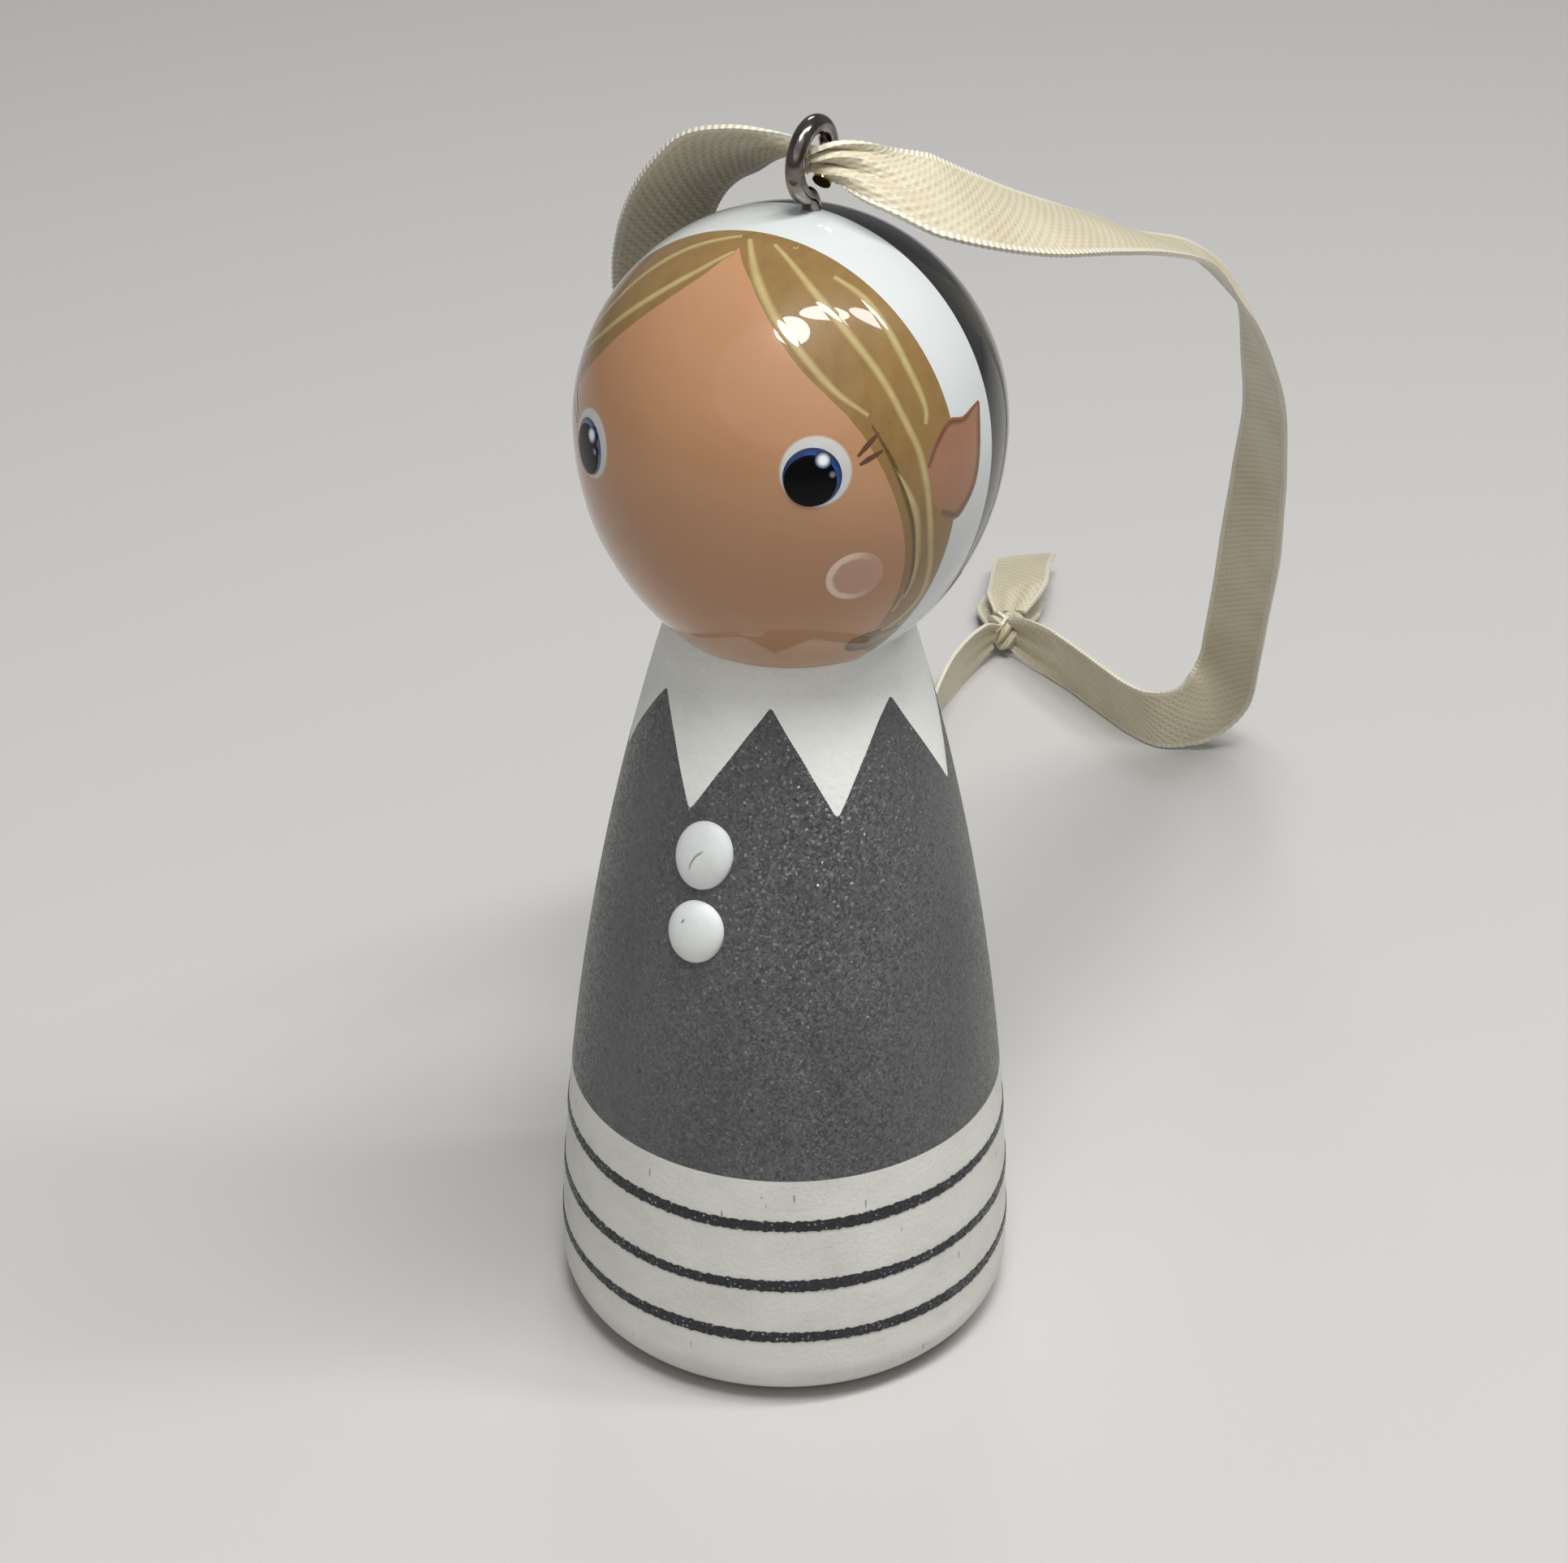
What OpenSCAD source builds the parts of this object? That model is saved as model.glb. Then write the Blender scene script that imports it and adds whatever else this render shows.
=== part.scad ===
// Peg doll ornament: a turned wooden peg under thin coats of paint, a screw eye and a ribbon.
// Units are millimetres. The doll stands on z = 0, its axis is Z, and its face looks along -Y.
// The doll's own left side is +X.

/* [Peg] */
// Height of the turned peg from its sole to its crown
peg_h = 90; // [86:1:100]
// Diameter of the foot
foot_d = 36; // [32:0.5:42]
// Diameter of the head
head_d = 30.4; // [29:0.2:33]
// Diameter of the neck
neck_d = 17.6; // [16:0.2:20]
// Height of the neck above the sole
neck_h = 60; // [57:0.5:62]
// Radius that rounds the edge of the foot
foot_round = 3.8; // [2:0.2:5]

/* [Paint] */
// Thickness of a base coat
coat_t = 0.25; // [0.1:0.05:0.4]
// Thickness of each coat that is dabbed on top
dab_t = 0.15; // [0.1:0.05:0.25]
// Bare wood left below the lowest paint
bare_h = 0.5; // [0.4:0.1:1.5]

/* [Head] */
// Lean of the hood's edge
hood_lean = 5.7; // [0:0.1:10]
// Lean of the hair's rear edge
hair_lean = 1.7; // [0:0.1:5]
// Radius of the round part of an ear
ear_r = 2.5; // [1.5:0.1:3.5]
// Rise of the middle of an ear above the centre of the head
ear_rise = 1.1; // [-1:0.1:3]

/* [Face] */
// Diameter of the white of an eye
eye_white_d = 4.9; // [4.4:0.1:6]
// Diameter of an iris
iris_d = 3.9; // [3.5:0.1:4.3]
// Diameter of a pupil
pupil_d = 3.1; // [2:0.1:3.4]
// Angle of each eye from the middle of the face
eye_turn = 34; // [25:1:40]
// Rise of the eyes above the centre of the head
eye_rise = 3.1; // [0:0.1:5]
// Distance that the doll's right eye and cheek sit below its left ones, as a hand painted them
right_drop = 1.8; // [0:0.1:2.5]
// Diameter of a cheek
cheek_d = 4.2; // [3:0.1:5]
// Angle of each cheek from the middle of the face
cheek_turn = 46; // [38:1:52]

/* [Clothes] */
// Drop of the collar's notches below the neck
notch_drop = 3.2; // [2:0.1:5]
// Drop of the collar's points below the neck
point_drop = 11.3; // [8:0.1:14]
// Height of the hem's upper edge
hem_h = 21; // [18.5:0.5:26]
// Height of the topmost line on the hem
line_top_h = 17.1; // [15:0.1:18]
// Height of the middle line on the hem
line_middle_h = 11.7; // [9:0.1:13]
// Height of the lowest line on the hem
line_bottom_h = 6.9; // [4:0.1:8]
// Width of a line on the hem
line_w = 0.85; // [0.5:0.05:1.5]
// Height of the upper button
button_upper_h = 45.9; // [44:0.1:47]
// Height of the lower button
button_lower_h = 40.1; // [36:0.1:41]
// Diameter of the upper button
button_upper_d = 4.8; // [4:0.1:5.2]
// Diameter of the lower button
button_lower_d = 4.6; // [4:0.1:5.2]
// Rise of a button above the tunic
button_rise = 0.95; // [0.6:0.05:1.3]

/* [Screw eye] */
// Diameter of the wire
wire_d = 1.35; // [1:0.05:1.6]
// Diameter of the ring along the middle of its wire
ring_d = 4.8; // [4.4:0.1:6]
// Angle that the ring leaves open beside the shank
ring_gap = 34; // [30:1:60]
// Gap between the ring and the crown
ring_lift = 0.35; // [0.1:0.05:1]
// Length of the shank in the wood
shank_h = 7; // [4:0.5:12]
// Length of the shank's point
point_h = 1.5; // [0.8:0.1:3]
// Diameter at the tip of the shank's point
tip_d = 0.4; // [0.2:0.1:0.8]
// Distance of the shank to the doll's left of the axis
shank_x = 0.5; // [0:0.1:1]
// Distance of the shank behind the axis
shank_y = 1.8; // [0.5:0.1:3]
// Clearance round the shank in its pilot hole
pilot_gap = 0.05; // [0.02:0.01:0.15]

/* [Ribbon] */
// Width of the ribbon
ribbon_w = 7; // [6:0.5:8]
// Thickness of the ribbon
ribbon_t = 0.5; // [0.3:0.1:0.7]
// Diameter of the knot
knot_d = 5.2; // [4.6:0.1:5.4]

/* [Hidden] */
$fn = 96;
fine_fn = 720;
hull_fn = 32;

// One overrun serves every cut.
overrun = 1;

// Radii of the peg, and the height of the head's centre
foot_r = foot_d / 2;
head_r = head_d / 2;
neck_r = neck_d / 2;
head_z = peg_h - head_r;

// The side of the body is one arc. It runs through the neck and is widest a little below the sole.
widest_below = 2.5;
body_rise = neck_h + widest_below;
body_taper = foot_r - neck_r;
flare_r = (pow(body_rise, 2) + pow(body_taper, 2)) / (2 * body_taper);
flare_x = foot_r - flare_r;
neck_run = 2;

// The foot's rounding touches that arc, and its centre stands over the edge of the flat sole.
round_rise_share = (foot_round + widest_below) / (flare_r - foot_round);
sole_r = flare_x + (flare_r - foot_round) * sqrt(1 - pow(round_rise_share, 2));

// Below its widest the head runs in to the neck on an arc of its own.
jaw_drop = head_z - neck_h;
jaw_taper = head_r - neck_r;
jaw_r = (pow(jaw_drop, 2) + pow(jaw_taper, 2)) / (2 * jaw_taper);

// Radius of the two curtains of hair that frame the face, and the distances of their centres from
// the middle of the face and below the head's centre, as shares of the head's radius
face_r_share = 0.92;
face_shift_share = 0.072;
face_drop_share = 0.165;

// Distances from the axis, forward to the rear edge of the hair and back to the edge of the hood,
// as shares of the head's radius
hair_edge_share = 0.243;
hood_edge_share = 0.04;

// Edge of the parted hair over the brow, out to the doll's left and up from the head's centre, as
// shares of the head's radius. The curtains of hair start where it ends, and the last two points
// lie inside the face.
parting_shares = [
    [-0.69, 0.357],
    [-0.375, 0.678],
    [-0.16, 0.855],
    [-0.08, 0.93],
    [0.06, 0.868],
    [0.31, 0.69],
    [0.53, 0.515],
    [0.69, 0.357],
    [0.45, 0],
    [-0.45, 0]
];

// Place of an ear's middle in front of the axis, and of its tip from there, as shares of its radius
ear_front_share = 1.5;
ear_tip_shares = [1.32, 1.36];
ear_tip_r_share = 0.08;

// The pupils look down a little.
pupil_dip_share = 0.05;

// Drop of the cheeks below the head's centre, as a share of the way down to the neck
cheek_drop_share = 0.338;

// Angles of the collar's seven points. Its notches lie midway and are blunt by a hair.
point_turns = [-7, 47, 102, 151, 201, 251, 301];
notch_blunt = 0.05;
point_z = neck_h - point_drop;
notch_z = neck_h - notch_drop;

// Seats of the screw eye
crown_z = head_z + sqrt(pow(head_r, 2) - pow(shank_x, 2) - pow(shank_y, 2));
ring_r = ring_d / 2;
ring_z = crown_z + ring_lift + wire_d / 2 + ring_r;
shank_tip_z = crown_z - shank_h;

// Route of the ribbon. Each row is a place, the way that its width points, and the shares of its
// full width and of its gathered thickness there. Both runs start in the ring and end in the knot.
gathered_t = 1.3;
knot_place = [-29.2, 102.6, 2.7];
right_route = [
    [[0.5, 1.8, 93.3], [0, 0.4, -0.9], 0.3, 1],
    [[3, 2.4, 93.2], [0.1, -0.5, -0.8], 0.45, 0.7],
    [[5.5, 3.6, 92.3], [0.3, -0.8, -0.5], 0.75, 0.5],
    [[8, 6, 90.8], [0.5, -0.7, -0.5], 1, 0.4],
    [[9.9, 9.5, 89], [0.7, -0.5, -0.5], 1, 0.4],
    [[11.4, 14, 87], [0.8, -0.4, -0.4], 1, 0.4],
    [[12.5, 20.5, 84.6], [0.9, -0.2, -0.3], 1, 0.4],
    [[13, 28, 81.6], [1, -0.1, -0.2], 1, 0.4],
    [[13.1, 37, 77.4], [1, -0.1, -0.2], 1, 0.4],
    [[12.8, 47, 71.8], [0.8, -0.3, -0.5], 1, 0.4],
    [[12.2, 55.5, 66.2], [0.7, -0.4, -0.6], 1, 0.4],
    [[11.2, 62.5, 60], [0.7, -0.5, -0.5], 1, 0.4],
    [[10, 68.5, 53], [0.8, -0.4, -0.5], 1, 0.4],
    [[8.5, 74, 45.5], [0.8, -0.4, -0.5], 1, 0.4],
    [[6.4, 79.5, 37.5], [0.9, -0.3, -0.4], 1, 0.4],
    [[4.2, 85, 29], [0.9, -0.2, -0.3], 1, 0.4],
    [[1.9, 90, 20], [0.9, -0.2, -0.3], 1, 0.4],
    [[0.2, 93.5, 13], [0.9, -0.2, -0.3], 1, 0.4],
    [[-0.9, 95.4, 8.2], [0.9, -0.1, -0.4], 1, 0.4],
    [[-2.1, 94.8, 5.2], [0.8, 0.2, -0.6], 1, 0.4],
    [[-4, 92.4, 4], [0.4, 0.3, -0.9], 1, 0.4],
    [[-6.8, 91, 3.7], [0.2, 0.2, -1], 1, 0.4],
    [[-10, 91.9, 3.6], [0.1, 0.2, -1], 1, 0.4],
    [[-13.4, 93.8, 3.6], [0.1, 0.2, -1], 1, 0.4],
    [[-20.4, 97.8, 3.6], [0.1, 0.2, -1], 1, 0.4],
    [[-25.5, 100.5, 3.2], [0.1, 0.1, -1], 0.8, 0.5],
    [[-28.3, 102, 2.8], [0.1, 0, -1], 0.5, 0.6]
];
left_route = [
    [[0.5, 1.8, 93.3], [0, 0.4, -0.9], 0.3, 1],
    [[-1.4, 2.2, 93.9], [0.2, 0.8, -0.6], 0.4, 0.8],
    [[-4.4, 2.9, 93.4], [0.4, 0.7, -0.5], 0.7, 0.5],
    [[-7.6, 3.8, 91.9], [0.5, 0.7, -0.5], 0.95, 0.4],
    [[-10.4, 4.8, 89.6], [0.5, 0.8, -0.4], 1, 0.4],
    [[-12.6, 5.9, 87], [0.5, 0.8, -0.3], 1, 0.4],
    [[-14.4, 7.2, 83.8], [0.5, 0.8, -0.3], 1, 0.4],
    [[-16.1, 9.2, 79.6], [0.5, 0.8, -0.3], 1, 0.4],
    [[-17.4, 12.3, 74], [0.6, 0.7, -0.1], 1, 0.4],
    [[-18.8, 18, 65.5], [0.7, 0.6, 0], 1, 0.4],
    [[-20.2, 25.5, 56], [0.9, 0.3, 0.2], 1, 0.4],
    [[-21.6, 34, 45.5], [1, 0.1, 0], 1, 0.4],
    [[-22.8, 43, 34], [1, 0, 0], 1, 0.4],
    [[-24, 52, 23], [1, 0, 0], 1, 0.4],
    [[-25.4, 61, 13.5], [1, 0, 0.1], 1, 0.4],
    [[-26.8, 70, 7], [0.9, 0.1, 0.4], 1, 0.4],
    [[-28, 79, 4.2], [0.5, 0.1, 0.9], 1, 0.4],
    [[-28.9, 88, 3.6], [0.2, 0.1, 1], 1, 0.4],
    [[-29.3, 95, 3.5], [0.2, 0.1, 1], 0.95, 0.4],
    [[-29.3, 100, 2.9], [0.2, 0.1, 0.9], 0.5, 0.6]
];
short_tail_route = [
    [[-30.2, 104.2, 1.9], [0.9, 0.3, 0], 0.5, 0.4],
    [[-31.6, 108.5, 1.5], [0.9, 0.3, 0], 1, 0.4],
    [[-32.8, 112.5, 0.9], [0.9, 0.3, 0], 1, 0.4]
];
long_tail_route = [
    [[-29.6, 104.5, 3.8], [0.9, 0.2, 0.2], 0.5, 0.4],
    [[-31.3, 110, 4], [0.9, 0.2, 0.3], 1, 0.4],
    [[-33.4, 115.5, 3.4], [0.9, 0.2, 0.3], 1, 0.4],
    [[-35, 120, 2.4], [0.9, 0.3, 0.2], 1, 0.4]
];

// Half of the peg's outline, drawn inward by inset, or outward where inset is negative
module peg_outline(inset) {
    intersection() {
        translate([0, head_z])
            circle(r = head_r - inset);
        translate([0, head_z - head_r])
            square([head_r + overrun, 2 * head_r + overrun]);
    }
    intersection() {
        translate([head_r - jaw_r, head_z])
            circle(r = jaw_r - inset);
        translate([0, neck_h])
            square([head_r + overrun, jaw_drop]);
    }
    body_low = foot_round + (foot_round - inset) * round_rise_share;
    intersection() {
        translate([flare_x, -widest_below])
            circle(r = flare_r - inset, $fn = fine_fn);
        translate([0, body_low])
            square([foot_r + overrun, neck_h + neck_run - body_low]);
    }
    translate([sole_r, foot_round])
        circle(r = foot_round - inset);
    square([sole_r, body_low]);
}

// A coat of paint all round the peg, between two heights and two depths below the painted surface
module coat(low, high, top = 0, bottom = coat_t) {
    rotate_extrude()
        intersection() {
            difference() {
                peg_outline(top);
                peg_outline(bottom);
            }
            translate([0, low])
                square([foot_r + overrun, high - low]);
        }
}

// The coat over the whole head
module head_coat(top = 0, bottom = coat_t) {
    coat(neck_h, peg_h + overrun, top, bottom);
}

// Everything behind an upright edge that crosses the head from ear to ear
module behind(edge_y, lean) {
    translate([0, edge_y, head_z])
        rotate([-lean, 0, 0])
            translate([-head_d, 0, -head_d])
                cube([2 * head_d, head_d, 2 * head_d]);
}

// The part of the head that the face takes, between the curtains of hair and under the parting
module face_area() {
    brow_up = parting_shares[0][1] * head_r;
    translate([0, 0, head_z])
        rotate([90, 0, 0])
            union() {
                linear_extrude(head_r + overrun)
                    polygon(head_r * parting_shares);
                linear_extrude(head_r + overrun)
                    intersection() {
                        translate(head_r * [face_shift_share, -face_drop_share])
                            circle(r = face_r_share * head_r);
                        translate(head_r * [-face_shift_share, -face_drop_share])
                            circle(r = face_r_share * head_r);
                        translate([-head_r, brow_up - 2 * head_r])
                            square(2 * head_r);
                    }
            }
}

// The outline of an ear, as a prism that leaves the head to one side
module ear_area(side) {
    mirror([side < 0 ? 1 : 0, 0, 0])
        rotate([90, 0, 90])
            linear_extrude(head_r + overrun)
                translate([-ear_front_share * ear_r, head_z + ear_rise])
                    hull() {
                        circle(r = ear_r, $fn = hull_fn);
                        translate(ear_r * ear_tip_shares)
                            circle(r = ear_r * ear_tip_r_share, $fn = hull_fn);
                    }
}

// Turns what is drawn along +Z to look out of the head at an angle and a rise
module on_face(turn, rise) {
    translate([0, 0, head_z])
        rotate([90 - asin(rise / head_r), 0, turn])
            children();
}

// Drop of what is painted on one side of the face, where -1 is the doll's right
function dip(side) = side < 0 ? right_drop : 0;

// A round dab of paint on the face, lying on as many dabs as the layer says
module dab(turn, rise, d, layer = 0) {
    intersection() {
        head_coat(-(layer + 1) * dab_t, -layer * dab_t);
        on_face(turn, rise)
            cylinder(d = d, h = head_d);
    }
}

// The hole for the shank of the screw eye
module pilot_hole() {
    translate([shank_x, shank_y, shank_tip_z])
        cylinder(d = wire_d + 2 * pilot_gap, h = shank_h + head_r);
}

// Radius of the painted body at a height
function body_r(z) = flare_x + sqrt(pow(flare_r, 2) - pow(z + widest_below, 2));

// Width of one side of a point, where it meets its neighbour at a notch
function point_side(turn) = body_r(notch_z) * sin(turn / 2);

// The points of the collar, as wedges that leave the axis and widen up to the notches
module points() {
    last = len(point_turns) - 1;
    for (i = [0 : last]) {
        before = point_turns[i] - (i == 0 ? point_turns[last] - 360 : point_turns[i - 1]);
        after = (i == last ? point_turns[0] + 360 : point_turns[i + 1]) - point_turns[i];
        rotate([90, 0, point_turns[i]])
            linear_extrude(foot_r + overrun)
                polygon([
                    [0, point_z],
                    [point_side(after), notch_z],
                    [-point_side(before), notch_z]
                ]);
    }
}

// A dome of thick paint on the front of the tunic, hollow behind to fit the tunic's slope
module button(height, d) {
    dome_r = (pow(button_rise, 2) + pow(d / 2, 2)) / (2 * button_rise);
    tilt = asin((height + widest_below) / flare_r);
    reach = flare_r + button_rise - dome_r;
    difference() {
        translate([0, -flare_x - reach * cos(tilt), reach * sin(tilt) - widest_below])
            sphere(r = dome_r);
        translate([0, 0, height - d])
            cylinder(r1 = body_r(height) + d * tan(tilt), r2 = body_r(height) - d * tan(tilt), h = 2 * d);
    }
}

// A line of paint all round the hem
module hem_line(height) {
    coat(height - line_w / 2, height + line_w / 2, -dab_t, 0);
}

// Direction of a route at one of its rows. Both runs cross the ring along X.
function heading(route, i, start) =
    i == 0 ? start
    : i == len(route) - 1 ? route[i][0] - route[i - 1][0]
    : route[i + 1][0] - route[i - 1][0];

function unit(v) = v / norm(v);

// Corners of the ribbon's section at one row, with the edges of the band slightly bevelled
function section(row, along) =
    let (
        ahead = unit(along),
        across = unit(row[1] - (row[1] * ahead) * ahead),
        up = cross(ahead, across),
        a = ribbon_w * row[2] / 2,
        b = max(ribbon_t, gathered_t * row[3]) / 2,
        c = b / 2
    )
    [for (p = [[a, -c], [a, c], [a - c, b], [c - a, b], [-a, c], [-a, -c], [c - a, -b], [a - c, -b]])
        row[0] + p[0] * across + p[1] * up];

// The ribbon along a route, as one closed band
module ribbon(route, start) {
    rows = len(route);
    sides = 8;
    corners = [for (i = [0 : rows - 1]) each section(route[i], heading(route, i, start))];
    skin = [
        for (i = [0 : rows - 2], k = [0 : sides - 1])
            let (n = (k + 1) % sides, a = i * sides, b = a + sides)
            each [[a + k, b + n, a + n], [a + k, b + k, b + n]]
    ];
    first = [for (k = [1 : sides - 2]) [0, k, k + 1]];
    z = (rows - 1) * sides;
    last = [for (k = [1 : sides - 2]) [z, z + k + 1, z + k]];
    polyhedron(points = corners, faces = concat(skin, first, last));
}

// The turned peg, with the pilot hole for the screw eye drilled in its crown
module wooden_peg() {
    color("burlywood")
        difference() {
            rotate_extrude() {
                peg_outline(coat_t);
            }
            pilot_hole();
        }
}

module face_skin() {
    color([0.8, 0.58, 0.46])
        intersection() {
            head_coat();
            face_area();
        }
}

module hair() {
    color([0.64, 0.51, 0.3])
        difference() {
            head_coat();
            behind(-hair_edge_share * head_r, hair_lean);
            face_area();
            ear_area(1);
            ear_area(-1);
        }
}

module hat_band() {
    color([0.89, 0.9, 0.91])
        difference() {
            intersection() {
                head_coat();
                behind(-hair_edge_share * head_r, hair_lean);
            }
            behind(hood_edge_share * head_r, hood_lean);
            ear_area(1);
            ear_area(-1);
            pilot_hole();
        }
}

module hood() {
    color([0.24, 0.25, 0.26])
        difference() {
            intersection() {
                head_coat();
                behind(hood_edge_share * head_r, hood_lean);
            }
            pilot_hole();
        }
}

module ear(side) {
    color([0.74, 0.52, 0.4])
        intersection() {
            head_coat();
            ear_area(side);
        }
}

module ear_left() {
    ear(1);
}

module ear_right() {
    ear(-1);
}

module eye_white(side) {
    color("white")
        dab(side * eye_turn, eye_rise - dip(side), eye_white_d);
}

module eye_white_left() {
    eye_white(1);
}

module eye_white_right() {
    eye_white(-1);
}

module iris(side) {
    color([0.16, 0.3, 0.6])
        dab(side * eye_turn, eye_rise - dip(side), iris_d, 1);
}

module iris_left() {
    iris(1);
}

module iris_right() {
    iris(-1);
}

module pupil(side) {
    color("black")
        dab(side * eye_turn, eye_rise - dip(side) - pupil_dip_share * iris_d, pupil_d, 2);
}

module pupil_left() {
    pupil(1);
}

module pupil_right() {
    pupil(-1);
}

module cheek(side) {
    color([0.87, 0.6, 0.55])
        dab(side * cheek_turn, -cheek_drop_share * jaw_drop - dip(side), cheek_d);
}

module cheek_left() {
    cheek(1);
}

module cheek_right() {
    cheek(-1);
}

module collar() {
    color([0.82, 0.82, 0.8])
        union() {
            coat(notch_z - notch_blunt, neck_h);
            intersection() {
                coat(hem_h, notch_z - notch_blunt);
                points();
            }
        }
}

module tunic() {
    color([0.36, 0.37, 0.35])
        difference() {
            coat(hem_h, notch_z - notch_blunt);
            points();
        }
}

module hem() {
    color([0.82, 0.82, 0.8])
        coat(bare_h, hem_h);
}

module hem_line_top() {
    color([0.26, 0.27, 0.29])
        hem_line(line_top_h);
}

module hem_line_middle() {
    color([0.26, 0.27, 0.29])
        hem_line(line_middle_h);
}

module hem_line_bottom() {
    color([0.26, 0.27, 0.29])
        hem_line(line_bottom_h);
}

module button_upper() {
    color([0.84, 0.85, 0.84])
        button(button_upper_h, button_upper_d);
}

module button_lower() {
    color([0.84, 0.85, 0.84])
        button(button_lower_h, button_lower_d);
}

// One bent wire: a pointed shank in the wood, and a ring that stays open beside it
module screw_eye() {
    color([0.35, 0.33, 0.31])
        translate([shank_x, shank_y, 0]) {
            translate([0, 0, ring_z])
                mirror([0, 1, 0])
                    rotate([0, 90, 0])
                        rotate_extrude(angle = 360 - ring_gap)
                            translate([ring_r, 0])
                                circle(d = wire_d);
            translate([0, 0, ring_z - ring_r])
                sphere(d = wire_d);
            translate([0, 0, shank_tip_z + point_h])
                cylinder(d = wire_d, h = ring_z - ring_r - shank_tip_z - point_h);
            translate([0, 0, shank_tip_z])
                cylinder(d1 = tip_d, d2 = wire_d, h = point_h);
        }
}

module ribbon_right_run() {
    color([0.77, 0.74, 0.66])
        ribbon(right_route, [1, 0, 0]);
}

module ribbon_left_run() {
    color([0.77, 0.74, 0.66])
        ribbon(left_route, [-1, 0, 0]);
}

module ribbon_knot() {
    color([0.77, 0.74, 0.66])
        translate(knot_place)
            sphere(d = knot_d);
}

module ribbon_tail_short() {
    color([0.77, 0.74, 0.66])
        ribbon(short_tail_route, short_tail_route[1][0] - short_tail_route[0][0]);
}

module ribbon_tail_long() {
    color([0.77, 0.74, 0.66])
        ribbon(long_tail_route, long_tail_route[1][0] - long_tail_route[0][0]);
}

wooden_peg();
face_skin();
hair();
hat_band();
hood();
ear_left();
ear_right();
eye_white_left();
eye_white_right();
iris_left();
iris_right();
pupil_left();
pupil_right();
cheek_left();
cheek_right();
collar();
tunic();
hem();
hem_line_top();
hem_line_middle();
hem_line_bottom();
button_upper();
button_lower();
screw_eye();
ribbon_right_run();
ribbon_left_run();
ribbon_knot();
ribbon_tail_short();
ribbon_tail_long();
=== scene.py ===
"""A painted wooden peg doll with a screw eye in its head and a ribbon to hang it by, in metres."""
import logging
import math
from collections.abc import Callable, Sequence
from dataclasses import dataclass
from enum import Enum

import bpy
from mathutils import Matrix, Vector


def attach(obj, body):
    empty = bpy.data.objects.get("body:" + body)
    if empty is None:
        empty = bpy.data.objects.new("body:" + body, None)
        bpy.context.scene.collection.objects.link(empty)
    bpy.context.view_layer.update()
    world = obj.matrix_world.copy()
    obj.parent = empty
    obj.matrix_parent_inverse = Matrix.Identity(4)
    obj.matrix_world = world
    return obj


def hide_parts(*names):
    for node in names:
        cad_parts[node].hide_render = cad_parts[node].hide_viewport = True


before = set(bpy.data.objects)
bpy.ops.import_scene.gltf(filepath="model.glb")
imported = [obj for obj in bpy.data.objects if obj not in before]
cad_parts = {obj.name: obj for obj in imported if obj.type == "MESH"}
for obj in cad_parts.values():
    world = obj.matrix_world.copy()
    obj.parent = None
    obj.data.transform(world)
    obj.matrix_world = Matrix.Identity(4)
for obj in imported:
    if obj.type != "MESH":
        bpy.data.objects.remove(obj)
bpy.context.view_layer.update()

log = logging.getLogger("peg_doll")

MM = 0.001
TINY = 1e-9
UP = Vector((0, 0, 1))
FRONT = Vector((0, -1, 0))
VARNISH = {"Coat_Roughness": 0.03, "Coat_IOR": 1.35}


class Side(Enum):
    """The doll's own left and right hand, by the sign of x."""

    LEFT = 1
    RIGHT = -1

    @property
    def word(self) -> str:
        """The side's name as the pieces spell it."""
        return self.name.lower()


class Cut(Enum):
    """What a carving tool leaves of a piece."""

    KEEP_INSIDE = "INTERSECT"
    TAKE_AWAY = "DIFFERENCE"


class Pigment(Enum):
    """The colours of the doll, as a screen shows them."""

    SKIN = (173, 131, 97)
    SKIN_WARM = (160, 112, 79)
    SKIN_EAR = (144, 103, 79)
    HAIR = (138, 110, 67)
    HAIR_DARK = (98, 75, 40)
    HAIR_LIGHT = (182, 166, 116)
    HAIR_EDGE = (66, 50, 26)
    BAND = (198, 202, 201)
    HOOD = (38, 39, 41)
    HOOD_DEEP = (30, 31, 33)
    EYE_WHITE = (186, 186, 183)
    IRIS = (34, 72, 150)
    IRIS_RIM = (20, 34, 72)
    PUPIL = (1, 1, 1)
    GLINT = (226, 232, 238)
    LASH = (88, 60, 48)
    OUTLINE = (92, 63, 36)
    CHEEK = (178, 135, 114)
    CHEEK_RIM = (220, 198, 181)
    # The collar's white is the hem's white paint made lighter: painted light that offsets the shade the head
    # casts on the collar.
    COLLAR = (240, 241, 235)
    CHALK = (214, 213, 206)
    CHALK_DULL = (186, 183, 174)
    TUNIC = (95, 97, 96)
    TUNIC_DARK = (74, 76, 77)
    MICA = (200, 200, 196)
    SPECK = (66, 22, 20)
    LINE = (36, 38, 43)
    LINE_MICA = (176, 184, 194)
    BUTTON = (222, 225, 223)
    SCRATCH = (110, 112, 112)
    STEEL = (172, 163, 156)
    STEEL_DARK = (60, 51, 47)
    BRASS = (222, 180, 108)
    RIBBON = (206, 197, 172)
    RIBBON_DEEP = (180, 168, 138)
    RIBBON_EDGE = (222, 217, 201)
    WOOD = (214, 178, 128)
    WOOD_RING = (184, 142, 92)
    FLOOR = (188, 186, 183)

    @property
    def linear(self) -> tuple[float, float, float, float]:
        """The colour as a shader's socket takes it."""
        return (*(to_linear(part / 255) for part in self.value), 1.0)


def to_linear(part: float) -> float:
    """Turn one part of a screen colour into the amount of light it stands for."""
    return part / 12.92 if part <= 0.04045 else ((part + 0.055) / 1.055) ** 2.4


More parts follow.
